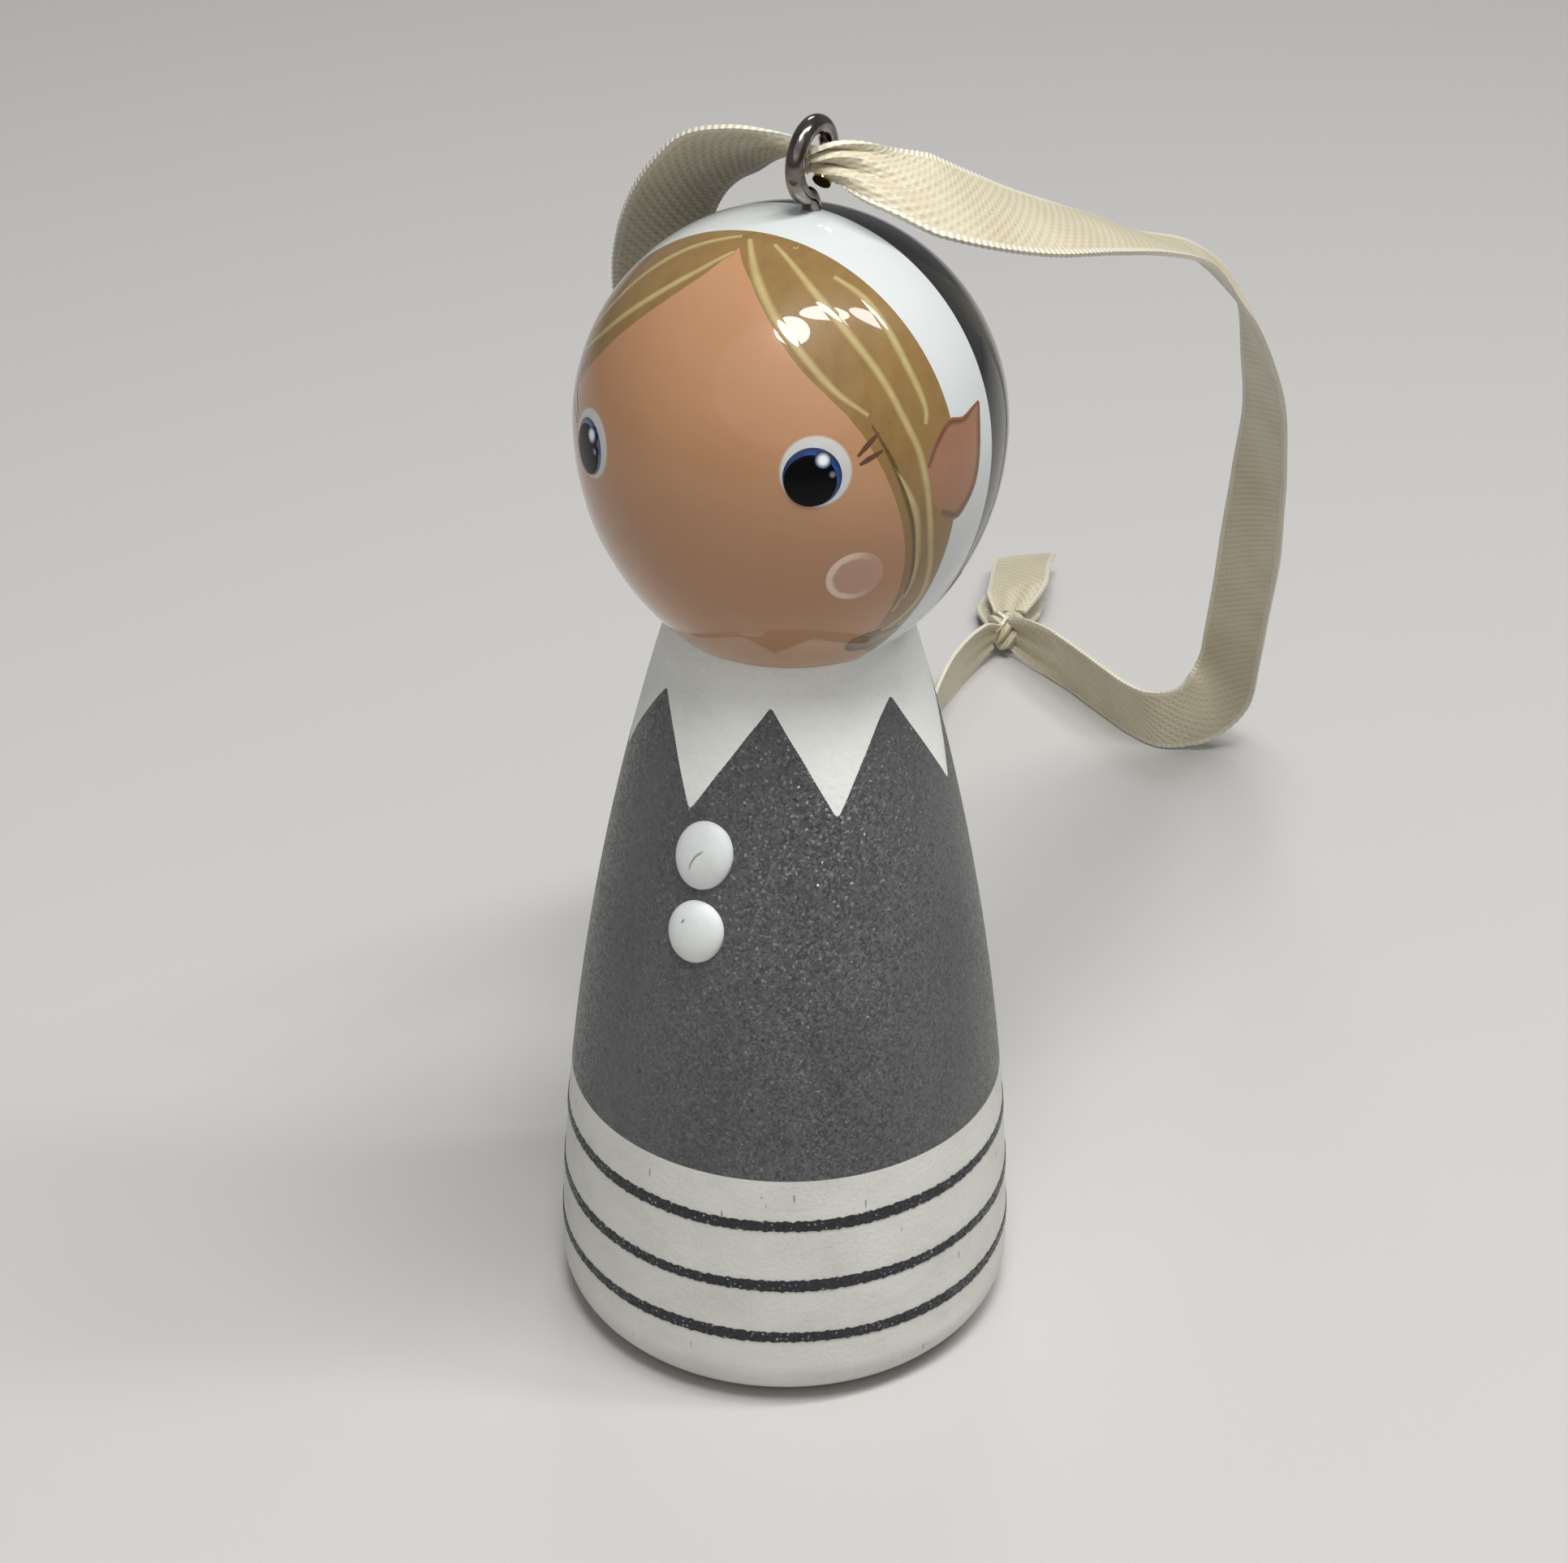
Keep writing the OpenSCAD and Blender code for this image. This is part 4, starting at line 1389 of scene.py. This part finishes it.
@dataclass
class PaintedBody:
    """Collar, tunic, white hem with its lines, and the two buttons.

    Each tip of the collar's edge is a turn in degrees, a height, and how far the edge bows up on
    its way to the next. The brush's unevenness along a hem line is a sum of waves, each a height,
    how often it comes round, and how much the line's own height moves its start: wander is for
    the whole line and rough for its width, which is less by thin_back away from full_turn.
    """

    hem_z: float = 21.0
    foot_z: float = 0.5
    top_z: float = 60.0
    edge: tuple[tuple[float, float, float], ...] = (
        (-33, 56.2, 0.7), (-8, 48.8, 0.35), (21, 57.3, 0.45), (46, 49.1, 0.9), (76, 56.7, 0),
        (104, 47.7, 0.4), (127, 56.9, 0.4), (151, 48.5, 0.4), (176, 57.1, 0.4), (201, 49, 0.4),
        (226, 56.6, 0.4), (251, 48.4, 0.4), (276, 56.9, 0.4), (301, 48.9, 0.4),
    )
    line_z: tuple[tuple[str, float], ...] = (("top", 17.1), ("middle", 11.7), ("bottom", 6.9))
    line_w: float = 0.92
    wander: tuple[tuple[float, int, int], ...] = ((0.06, 3, 1), (0.02, 11, 2))
    rough: tuple[tuple[float, int, int], ...] = ((0.03, 83, 1), (0.03, 137, 3), (0.04, 5, 2), (0.03, 211, 2))
    thin_back: float = 0.08
    full_turn: float = 30.0

    def shell_outline(
        self, low: float, high: float, out: float = 0.0, deep: float = 0.25
    ) -> list[tuple[float, float]]:
        """The closed outline of a coat between two heights.

        Args:
            low: The lower height in millimetres.
            high: The upper height.
            out: How far the coat stands out of the painted surface.
            deep: How far in it reaches.

        Returns:
            Its points, up the outside and down the inside.
        """
        spacing = 0.6
        steps = max(2, round((high - low) / spacing))
        heights = [low + (high - low) * k / steps for k in range(steps + 1)]
        outside = [(PEG.radius(h * MM, -out * MM), h * MM) for h in heights]
        inside = [(PEG.radius(h * MM, deep * MM), h * MM) for h in reversed(heights)]
        return outside + inside

    def zigzag(self, turn: float) -> float:
        """Height of the collar's edge at a turn from the front, in degrees."""
        first = (self.edge[0][0] + 360, *self.edge[0][1:])
        for (a, low, bow), (b, high, _) in zip(self.edge, [*self.edge[1:], first]):
            if a <= turn <= b:
                t = (turn - a) / (b - a)
                return low + (high - low) * t + bow * 4 * t * (1 - t)
        return self.zigzag(turn - 360)

    def collar_tool(self) -> bpy.types.Object:
        """A thick ring whose lower edge is the collar's zigzag, with tips as a brush leaves them."""
        let_go()
        inner, grow, top, blur, start = 6, 2.6, Vector((0, 0, 64)) * MM, 0.8, self.edge[0][0]
        bpy.ops.mesh.primitive_circle_add(vertices=480, radius=inner * MM)
        tool = named(bpy.context.active_object, "collar_tool")
        for vertex in tool.data.vertices:
            turn = math.degrees(math.atan2(vertex.co.x, -vertex.co.y)) % 360
            turn = turn - 360 if turn > start + 360 else turn
            near = [turn + d if turn + d >= start else turn + d + 360 for d in (-blur, 0, blur)]
            wander = 0.04 * math.sin(turn * 0.21) + 0.02 * math.sin(turn * 0.57 + 1)
            vertex.co.z = (sum(self.zigzag(t) for t in near) / 3 + wander) * MM
        edit(tool)
        for size, middle in (((grow, grow, 1), UP * 0), ((1, 1, 0), top), ((1 / grow, 1 / grow, 1), top)):
            bpy.ops.mesh.extrude_edges_move()
            bpy.ops.transform.resize(value=size, center_override=middle)
        bpy.ops.mesh.select_all(action="SELECT")
        bpy.ops.mesh.select_non_manifold(extend=False)
        bpy.ops.mesh.bridge_edge_loops()
        return close_up(tool)

    def line(self, z: float, name: str) -> bpy.types.Object:
        """One thin line round the hem, as a hand draws it.

        Args:
            z: The height of its middle in millimetres.
            name: The piece's name.

        Returns:
            The piece.
        """
        def waves(table: Sequence[tuple[float, int, int]], turn: float) -> float:
            """The sum of a table's waves at a turn in radians."""
            return sum(high * math.sin(times * turn + start * z) for high, times, start in table)

        half, out, deep, flats = self.line_w / 2, 0.06, 0.05, 720
        piece = lathe(name, self.shell_outline(z - half, z + half, out, deep), flats)
        for vertex in piece.data.vertices:
            place = vertex.co
            turn = math.atan2(place.x, -place.y)
            edge = (place.z / MM - z) / half
            thin = self.thin_back * (1 - math.cos(turn - math.radians(self.full_turn)))
            shift = (waves(self.wander, turn) + (waves(self.rough, turn) - thin) * edge) * MM
            r = PEG.radius(place.z + shift) + math.hypot(place.x, place.y) - PEG.radius(place.z)
            vertex.co = Vector((r * math.sin(turn), -r * math.cos(turn), place.z + shift))
        return smooth(piece, 50)

    def dress(self) -> None:
        """Build the coats of the body and give each its paint."""
        upper = lathe("upper_shell", self.shell_outline(self.hem_z, self.top_z))
        tool = self.collar_tool()
        collar = twin(upper, "collar_coat")
        carve(collar, tool, Cut.KEEP_INSIDE)
        tunic = twin(upper, "tunic_coat")
        carve(tunic, tool, Cut.TAKE_AWAY)
        hem = lathe("hem_coat", self.shell_outline(self.foot_z, self.hem_z))
        drop(upper, tool)
        for coat in (collar, tunic, hem):
            skin_over(coat, PEG.on_body)
        # The collar's white is painted lighter than the hem's, to stand in for light that the head's shade
        # takes away.
        chalk = ChalkPaint("collar_finish", Pigment.COLLAR, Pigment.CHALK, 0.5)
        finish_piece(collar, chalk.make(), "chalk_white", "collar")
        grey = MicaPaint("tunic_finish", Pigment.TUNIC, Pigment.TUNIC_DARK, Pigment.MICA, worn=0.9)
        finish_piece(tunic, grey.make(), "tunic_paint", "tunic")
        chalk = ChalkPaint("hem_finish", Pigment.CHALK, Pigment.CHALK_DULL, 0.5, marks=0.7)
        finish_piece(hem, chalk.make(), "chalk_white", "hem")
        for word, z in self.line_z:
            slate = MicaPaint(
                f"line_{word}_finish", Pigment.LINE, Pigment.HOOD_DEEP, Pigment.LINE_MICA, 0.75,
                fleck=0.85, grain=0.34,
            )
            piece = self.line(z, f"hem_line_{word}_band")
            finish_piece(piece, slate.make(), "line_paint", f"hem_line_{word}")
        for word, z, width, at, half, tilt, shape in (
            ("upper", 45.9, 4.8, (-0.3, 46.0), 1.1, 59, (0.96, 1.1, 0.06)),
            ("lower", 40.1, 4.6, (-0.7, 41.1), 0.22, 60, (0.98, 1.06, 0.05)),
        ):
            piece = Dab(f"button_{word}_dome", 0, z, width, 0.96, 0.0, 2.0, 72, 16, *shape).make()
            paint = ButtonPaint(f"button_{word}_finish", at, half, tilt)
            finish_piece(piece, paint.make(), "button_paint", f"button_{word}")


@dataclass
class ScrewEye:
    """One piece of wire: a pointed shank that bends into an open ring.

    The wire leaves the bend for the ring at one angle from straight down and ends at another.
    """

    wire_r: float = 0.675
    ring_r: float = 2.4
    ring_z: float = 93.31
    x: float = 0.5
    y: float = 1.8
    shank_tip_z: float = 82.88
    point: float = 1.5
    point_share: float = 0.3
    leave: float = 20.0
    open_at: float = 326.0

    def build(self) -> bpy.types.Object:
        """Draw the wire up the shank and round the ring.

        Returns:
            The closed piece.
        """
        leave = math.radians(self.leave)
        bend_r = self.ring_r * math.sin(leave) / (1 - math.sin(leave))
        bend = math.pi / 2 - leave
        start_z = self.ring_z - self.ring_r * math.cos(leave) - bend_r * math.sin(bend)
        let_go()
        bpy.ops.mesh.primitive_circle_add(vertices=28, radius=self.wire_r * MM, fill_type="NGON")
        piece = named(bpy.context.active_object, "screw_eye_wire")
        edit(piece)
        middle = (self.x * MM, self.y * MM, self.shank_tip_z * MM)
        bpy.ops.transform.translate(value=middle)
        small = self.point_share
        bpy.ops.transform.resize(value=(small, small, 1), center_override=middle)
        bpy.ops.mesh.extrude_region_move(TRANSFORM_OT_translate={"value": (0, 0, self.point * MM)})
        bpy.ops.transform.resize(value=(1 / small, 1 / small, 1), center_override=middle)
        rise = start_z - self.shank_tip_z - self.point
        bpy.ops.mesh.extrude_region_move(TRANSFORM_OT_translate={"value": (0, 0, rise * MM)})
        bpy.ops.mesh.spin(
            steps=14,
            angle=-bend,
            center=(self.x * MM, (self.y - bend_r) * MM, start_z * MM),
            axis=(1, 0, 0),
        )
        bpy.ops.mesh.spin(
            steps=72,
            angle=math.radians(self.open_at - self.leave),
            center=(self.x * MM, self.y * MM, self.ring_z * MM),
            axis=(1, 0, 0),
        )
        close_up(piece)
        return smooth(piece, 40)

    def dress(self) -> None:
        """Build the wire and give it its metal."""
        finish_piece(self.build(), DarkNickel().make(), "dark_steel", "screw_eye")


Row = tuple[tuple[float, float, float], tuple[float, float, float], float, float]


@dataclass(frozen=True)
class Ribbon:
    """A loop of twill ribbon that runs through the ring, is knotted, and ends in two tails.

    Each row of a route is a place in metres, the way that the width points, the share of the
    full width, and the share of the gathered thickness. Where the ribbon is narrower than its
    width, it lies in folds, as deep as the gathered thickness lets them be. Its edges are sewn
    in small loops, and it is a little hollow and rippled.
    """

    width: float = 7.0
    thick: float = 0.34
    gathered: float = 0.65
    folds: float = 2.5
    hollow: float = 0.12
    ripple: float = 0.05
    loop_gap: float = 0.5
    loop_out: float = 0.09
    edge_in: float = 0.05
    pitch: float = 0.14
    columns: int = 14
    knot: tuple[float, float, float] = (-0.0292, 0.1026, 0.0027)
    right: tuple[Row, ...] = (
        ((0.0005, 0.0018, 0.0933), (0, 0.4, -0.9), 0.3, 1),
        ((0.003, 0.0024, 0.0932), (0.1, -0.5, -0.8), 0.45, 0.7),
        ((0.0055, 0.0036, 0.0923), (0.3, -0.8, -0.5), 0.75, 0.5),
        ((0.008, 0.006, 0.0908), (0.5, -0.7, -0.5), 1, 0.4),
        ((0.0099, 0.0095, 0.089), (0.7, -0.5, -0.5), 1, 0.4),
        ((0.0114, 0.014, 0.087), (0.8, -0.4, -0.4), 1, 0.4),
        ((0.0125, 0.0205, 0.0846), (0.9, -0.2, -0.3), 1, 0.4),
        ((0.013, 0.028, 0.0816), (1, -0.1, -0.2), 1, 0.4),
        ((0.0131, 0.037, 0.0774), (1, -0.1, -0.2), 1, 0.4),
        ((0.0128, 0.047, 0.0718), (0.8, -0.3, -0.5), 1, 0.4),
        ((0.0122, 0.0555, 0.0662), (0.7, -0.4, -0.6), 1, 0.4),
        ((0.0112, 0.0625, 0.06), (0.7, -0.5, -0.5), 1, 0.4),
        ((0.01, 0.0685, 0.053), (0.8, -0.4, -0.5), 1, 0.4),
        ((0.0085, 0.074, 0.0455), (0.8, -0.4, -0.5), 1, 0.4),
        ((0.0064, 0.0795, 0.0375), (0.9, -0.3, -0.4), 1, 0.4),
        ((0.0042, 0.085, 0.029), (0.9, -0.2, -0.3), 1, 0.4),
        ((0.0019, 0.09, 0.02), (0.9, -0.2, -0.3), 1, 0.4),
        ((0.0002, 0.0935, 0.013), (0.9, -0.2, -0.3), 1, 0.4),
        ((-0.0009, 0.0954, 0.0082), (0.9, -0.1, -0.4), 1, 0.4),
        ((-0.0021, 0.0948, 0.0052), (0.8, 0.2, -0.6), 1, 0.4),
        ((-0.004, 0.0924, 0.004), (0.4, 0.3, -0.9), 1, 0.4),
        ((-0.0068, 0.091, 0.0037), (0.2, 0.2, -1), 1, 0.4),
        ((-0.01, 0.0919, 0.0036), (0.1, 0.2, -1), 1, 0.4),
        ((-0.0134, 0.0938, 0.0036), (0.1, 0.2, -1), 1, 0.4),
        ((-0.0204, 0.0978, 0.0036), (0.1, 0.2, -1), 1, 0.4),
        ((-0.0255, 0.1005, 0.0032), (0.1, 0.1, -1), 0.8, 0.5),
        ((-0.0283, 0.102, 0.0028), (0.1, 0, -1), 0.5, 0.6),
    )
    left: tuple[Row, ...] = (
        ((0.0005, 0.0018, 0.0933), (0, 0.4, -0.9), 0.3, 1),
        ((-0.0014, 0.0022, 0.0939), (0.2, 0.8, -0.6), 0.4, 0.8),
        ((-0.0044, 0.0029, 0.0934), (0.4, 0.7, -0.5), 0.7, 0.5),
        ((-0.0076, 0.0038, 0.0919), (0.5, 0.7, -0.5), 0.95, 0.4),
        ((-0.0104, 0.0048, 0.0896), (0.5, 0.8, -0.4), 1, 0.4),
        ((-0.0126, 0.0059, 0.087), (0.5, 0.8, -0.3), 1, 0.4),
        ((-0.0144, 0.0072, 0.0838), (0.5, 0.8, -0.3), 1, 0.4),
        ((-0.0161, 0.0092, 0.0796), (0.5, 0.8, -0.3), 1, 0.4),
        ((-0.0174, 0.0123, 0.074), (0.6, 0.7, -0.1), 1, 0.4),
        ((-0.0188, 0.018, 0.0655), (0.7, 0.6, 0), 1, 0.4),
        ((-0.0202, 0.0255, 0.056), (0.9, 0.3, 0.2), 1, 0.4),
        ((-0.0216, 0.034, 0.0455), (1, 0.1, 0), 1, 0.4),
        ((-0.0228, 0.043, 0.034), (1, 0, 0), 1, 0.4),
        ((-0.024, 0.052, 0.023), (1, 0, 0), 1, 0.4),
        ((-0.0254, 0.061, 0.0135), (1, 0, 0.1), 1, 0.4),
        ((-0.0268, 0.07, 0.007), (0.9, 0.1, 0.4), 1, 0.4),
        ((-0.028, 0.079, 0.0042), (0.5, 0.1, 0.9), 1, 0.4),
        ((-0.0289, 0.088, 0.0036), (0.2, 0.1, 1), 1, 0.4),
        ((-0.0293, 0.095, 0.0035), (0.2, 0.1, 1), 0.95, 0.4),
        ((-0.0293, 0.1, 0.0029), (0.2, 0.1, 0.9), 0.5, 0.6),
    )
    short_tail: tuple[Row, ...] = (
        ((-0.0302, 0.1042, 0.0019), (0.9, 0.3, 0), 0.5, 0.4),
        ((-0.0316, 0.1085, 0.0015), (0.9, 0.3, 0), 1, 0.4),
        ((-0.0328, 0.1125, 0.0009), (0.9, 0.3, 0), 1, 0.4),
    )
    long_tail: tuple[Row, ...] = (
        ((-0.0296, 0.1045, 0.0038), (0.9, 0.2, 0.2), 0.5, 0.4),
        ((-0.0313, 0.11, 0.004), (0.9, 0.2, 0.3), 1, 0.4),
        ((-0.0334, 0.1155, 0.0034), (0.9, 0.2, 0.3), 1, 0.4),
        ((-0.035, 0.12, 0.0024), (0.9, 0.3, 0.2), 1, 0.4),
    )

    @staticmethod
    def between(rows: Sequence[Sequence[float]], spacing: float) -> list[tuple[float, ...]]:
        """Run one smooth curve through rows of numbers.

        Args:
            rows: The rows, each a place and whatever else changes along the curve.
            spacing: The rough distance between the places on it.

        Returns:
            Rows along the curve, the first and last among them.
        """
        first, last = ([2 * a - b for a, b in zip(*two)] for two in (rows[:2], rows[:-3:-1]))
        ends = [first, *rows, last]
        out = []
        for a, b, c, d in zip(ends, ends[1:], ends[2:], ends[3:]):
            steps = max(1, round(math.dist(b[:3], c[:3]) / spacing))
            for step in range(steps):
                out.append(tuple(blend(*four, step / steps) for four in zip(a, b, c, d)))
        return [*out, tuple(rows[-1])]

    def band(self, routes: Sequence[Sequence[Row]], name: str, starts: Sequence[float]) -> bpy.types.Object:
        """Weave a flat band along one or more routes.

        Args:
            routes: The routes, each a list of rows.
            name: The piece's name.
            starts: The length of ribbon already used where each route starts, in millimetres, with
                a minus sign where the length counts down along it.

        Returns:
            The piece, with a UV map in millimetres along and across the ribbon.
        """
        points, faces, sheet = [], [], []
        for route, start in zip(routes, starts):
            rows = self.between([[*p, *w, share, fold] for p, w, share, fold in route], self.pitch * MM)
            base, used, before = len(points), abs(start), None
            sign = -1 if start < 0 else 1
            for k, row in enumerate(rows):
                place = Vector(row[:3])
                ahead, behind = rows[min(k + 1, len(rows) - 1)], rows[max(k - 1, 0)]
                way = (Vector(ahead[:3]) - Vector(behind[:3])).normalized()
                wide = Vector(row[3:6])
                wide = (wide - way * wide.dot(way)).normalized()
                up = way.cross(wide)
                used += 0 if before is None else (place - before).length / MM * sign
                before = place
                share, fold = min(1.0, max(0.2, row[6])), row[7]
                loops = self.loop_out * (0.5 + 0.5 * math.cos(2 * math.pi * used / self.loop_gap))
                half = (self.width / 2 * share - self.edge_in + loops * share) * MM
                slope = math.sqrt(max(0.0, 1 / share**2 - 1))
                room = max(0.0, self.gathered * fold - self.thick / 2)
                deep = min(slope * self.width * share / (2 * self.folds * math.pi), room) * MM
                for column in range(self.columns + 1):
                    v = 2 * column / self.columns - 1
                    ruck = deep * math.sin(self.folds * math.pi * v + 0.6)
                    bend = self.hollow * share * (v * v - 0.5) + self.ripple * math.sin(used * 0.35 + 2 * v)
                    points.append(place + wide * v * half + up * (ruck + bend * MM))
                    sheet.append((used, v * self.width / 2))
            line = self.columns + 1
            for k in range(len(rows) - 1):
                for column in range(self.columns):
                    a = base + k * line + column
                    faces.append((a, a + 1, a + line + 1, a + line))
        mesh = bpy.data.meshes.new(name)
        mesh.from_pydata(points, [], faces)
        piece = bpy.data.objects.new(name, mesh)
        bpy.context.collection.objects.link(piece)
        layer = mesh.uv_layers.new(name="UVMap").data
        for loop in mesh.loops:
            layer[loop.index].uv = sheet[loop.vertex_index]
        apply(piece, "SOLIDIFY", thickness=self.thick * MM, offset=0.0)
        return smooth(piece, 50)

    def knot_rows(self) -> list[Row]:
        """The way of the ribbon inside its knot: one overhand turn, drawn tight."""
        rows = []
        size, steps, share, fold = 0.6 * MM, 48, 0.36, 0.8
        middle = Vector(self.knot)
        lay = Matrix.Rotation(math.radians(25), 3, "Z")
        for k in range(steps + 1):
            t = 2 * math.pi * k / steps
            spot = Vector((
                math.sin(t) + 2 * math.sin(2 * t),
                math.cos(t) - 2 * math.cos(2 * t),
                -1.5 * math.sin(3 * t),
            )) * size
            slope = Vector((
                math.cos(t) + 4 * math.cos(2 * t),
                -math.sin(t) + 4 * math.sin(2 * t),
                -4.5 * math.cos(3 * t),
            ))
            wide = slope.cross(spot + Vector((0, 0, 0.2 * MM))).normalized()
            rows.append((tuple(middle + lay @ spot), tuple(lay @ wide), share, fold))
        return rows

    def route_length(self, rows: Sequence[Row]) -> float:
        """The length of a route, in metres."""
        fine = self.between([place for place, *_ in rows], MM)
        return sum(math.dist(a, b) for a, b in zip(fine, fine[1:]))

    def dress(self) -> None:
        """Make the loop, its knot and its tails, and log the loop's length."""
        twill = Twill().make()
        loop = self.band([self.right, self.left], "ribbon_loop", [200.0, -200.0])
        finish_piece(loop, twill, "ribbon", "ribbon_right_run", "ribbon_left_run")
        knot, short, long = (
            finish_piece(self.band([rows], name, [start]), twill, "ribbon", node)
            for rows, name, start, node in (
                (self.knot_rows(), "ribbon_knot_turns", 500.0, "ribbon_knot"),
                (self.short_tail, "ribbon_tail_short_end", 600.0, "ribbon_tail_short"),
                (self.long_tail, "ribbon_tail_long_end", 700.0, "ribbon_tail_long"),
            )
        )
        route = [*self.right, *reversed(self.left)]
        path = self.between([place for place, *_ in route], 2 * MM)
        length = self.route_length(self.right) + self.route_length(self.left)
        log.info("ribbon loop: %.1f mm", length / MM)
        self.width * MM


@dataclass(frozen=True)
class Softbox:
    """An oval lamp, by where it stands from the head, how wide it looks from there and how bright.

    Its long side runs along a direction.
    """

    name: str
    toward: tuple[float, float, float]
    along: tuple[float, float, float]
    length: float
    width: float
    radiance: float
    far: float = 0.7

    def hang(self) -> None:
        """Hang the lamp."""
        data = bpy.data.lights.new(self.name, "AREA")
        data.shape = "ELLIPSE"
        data.size = self.length * self.far
        data.size_y = self.width * self.far
        data.energy = self.radiance * math.pi**2 / 4 * data.size * data.size_y
        lamp = bpy.data.objects.new(self.name, data)
        way = Vector(self.toward).normalized()
        side = Vector(self.along)
        side = (side - way * side.dot(way)).normalized()
        lamp.location = PEG.centre + way * self.far
        lamp.rotation_euler = Matrix((side, way.cross(side), way)).transposed().to_euler()
        bpy.context.collection.objects.link(lamp)


@dataclass
class Studio:
    """Camera, floor and lamps."""

    eye: tuple[float, float, float] = (0.0992, -0.1820, 0.1696)
    look_at: tuple[float, float, float] = (0.0, 0.0046, 0.0392)
    roll: float = 0.754
    lens: float = 74.534
    sensor: float = 36.0
    shift: tuple[float, float] = (-0.02076, 0.0281)
    clip: tuple[float, float] = (0.01, 20.0)
    floor_size: float = 6.0
    sky: tuple[float, float, float, float] = (0.95, 0.97, 1.0, 1.0)
    sky_strength: float = 0.17
    lamps: tuple[Softbox, ...] = (
        Softbox("lamp_over_brow", (0.16, -0.286, 0.945), (1, 0, 0), 0.3, 0.27, 31),
        Softbox("lamp_window_near", (0.28, 0.01, 0.96), (0.24, 0.21, -0.07), 0.4, 0.14, 29),
        Softbox("lamp_window_far", (0.5, 0.26, 0.82), (0.15, 0.1, -0.13), 0.34, 0.12, 26),
        Softbox("lamp_front", (0.35, -0.7, 0.75), (1, 0.5, 0), 1.6, 1.3, 0.52),
        Softbox("lamp_behind", (-0.34, 0.7, 0.63), (1, 0.5, 0), 0.3, 0.3, 4),
    )

    def set_camera(self) -> None:
        """Stand the camera where the photograph was taken."""
        data = bpy.data.cameras.new("camera")
        data.lens = self.lens
        data.sensor_width = self.sensor
        data.shift_x, data.shift_y = self.shift
        data.clip_start, data.clip_end = self.clip
        camera = bpy.data.objects.new("camera", data)
        camera.location = self.eye
        way = (Vector(self.look_at) - Vector(self.eye)).to_track_quat("-Z", "Y")
        rolled = way.to_matrix() @ Matrix.Rotation(math.radians(self.roll), 3, "Z")
        camera.rotation_euler = rolled.to_euler()
        bpy.context.collection.objects.link(camera)
        bpy.context.scene.camera = camera

    def lay_floor(self) -> None:
        """Lay a plain pale floor."""
        let_go()
        bpy.ops.mesh.primitive_plane_add(size=self.floor_size)
        floor = named(bpy.context.active_object, "floor")
        finish = Finish("floor_finish", Roughness=0.7)
        finish.colour(Pigment.FLOOR)
        floor.data.materials.append(finish.material)

    def light(self) -> None:
        """Hang the lamps in a pale, even room."""
        for lamp in self.lamps:
            lamp.hang()
        world = bpy.data.worlds.new("room")
        world.use_nodes = True
        background = world.node_tree.nodes["Background"]
        background.inputs["Color"].default_value = self.sky
        background.inputs["Strength"].default_value = self.sky_strength
        bpy.context.scene.world = world


def dress_peg() -> None:
    """Give the turned peg its bare wood, which shows only under the foot."""
    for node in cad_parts.values():
        if node.name.startswith("wooden_peg"):
            node.data.materials.clear()
            node.data.materials.append(BareWood().make())
            log.info("%s: bare wood", node.name)


def main() -> None:
    """Build the doll piece by piece."""
    logging.basicConfig(level=logging.INFO, format="%(name)s: %(message)s")
    bpy.context.scene.view_settings.view_transform = "Standard"
    studio = Studio()
    studio.set_camera()
    Ribbon().dress()
    dress_peg()
    PaintedHead().dress()
    PaintedFace().dress()
    PaintedBody().dress()
    ScrewEye().dress()
    studio.lay_floor()
    studio.light()
    let_go()
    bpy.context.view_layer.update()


if __name__ == "__main__":
    main()
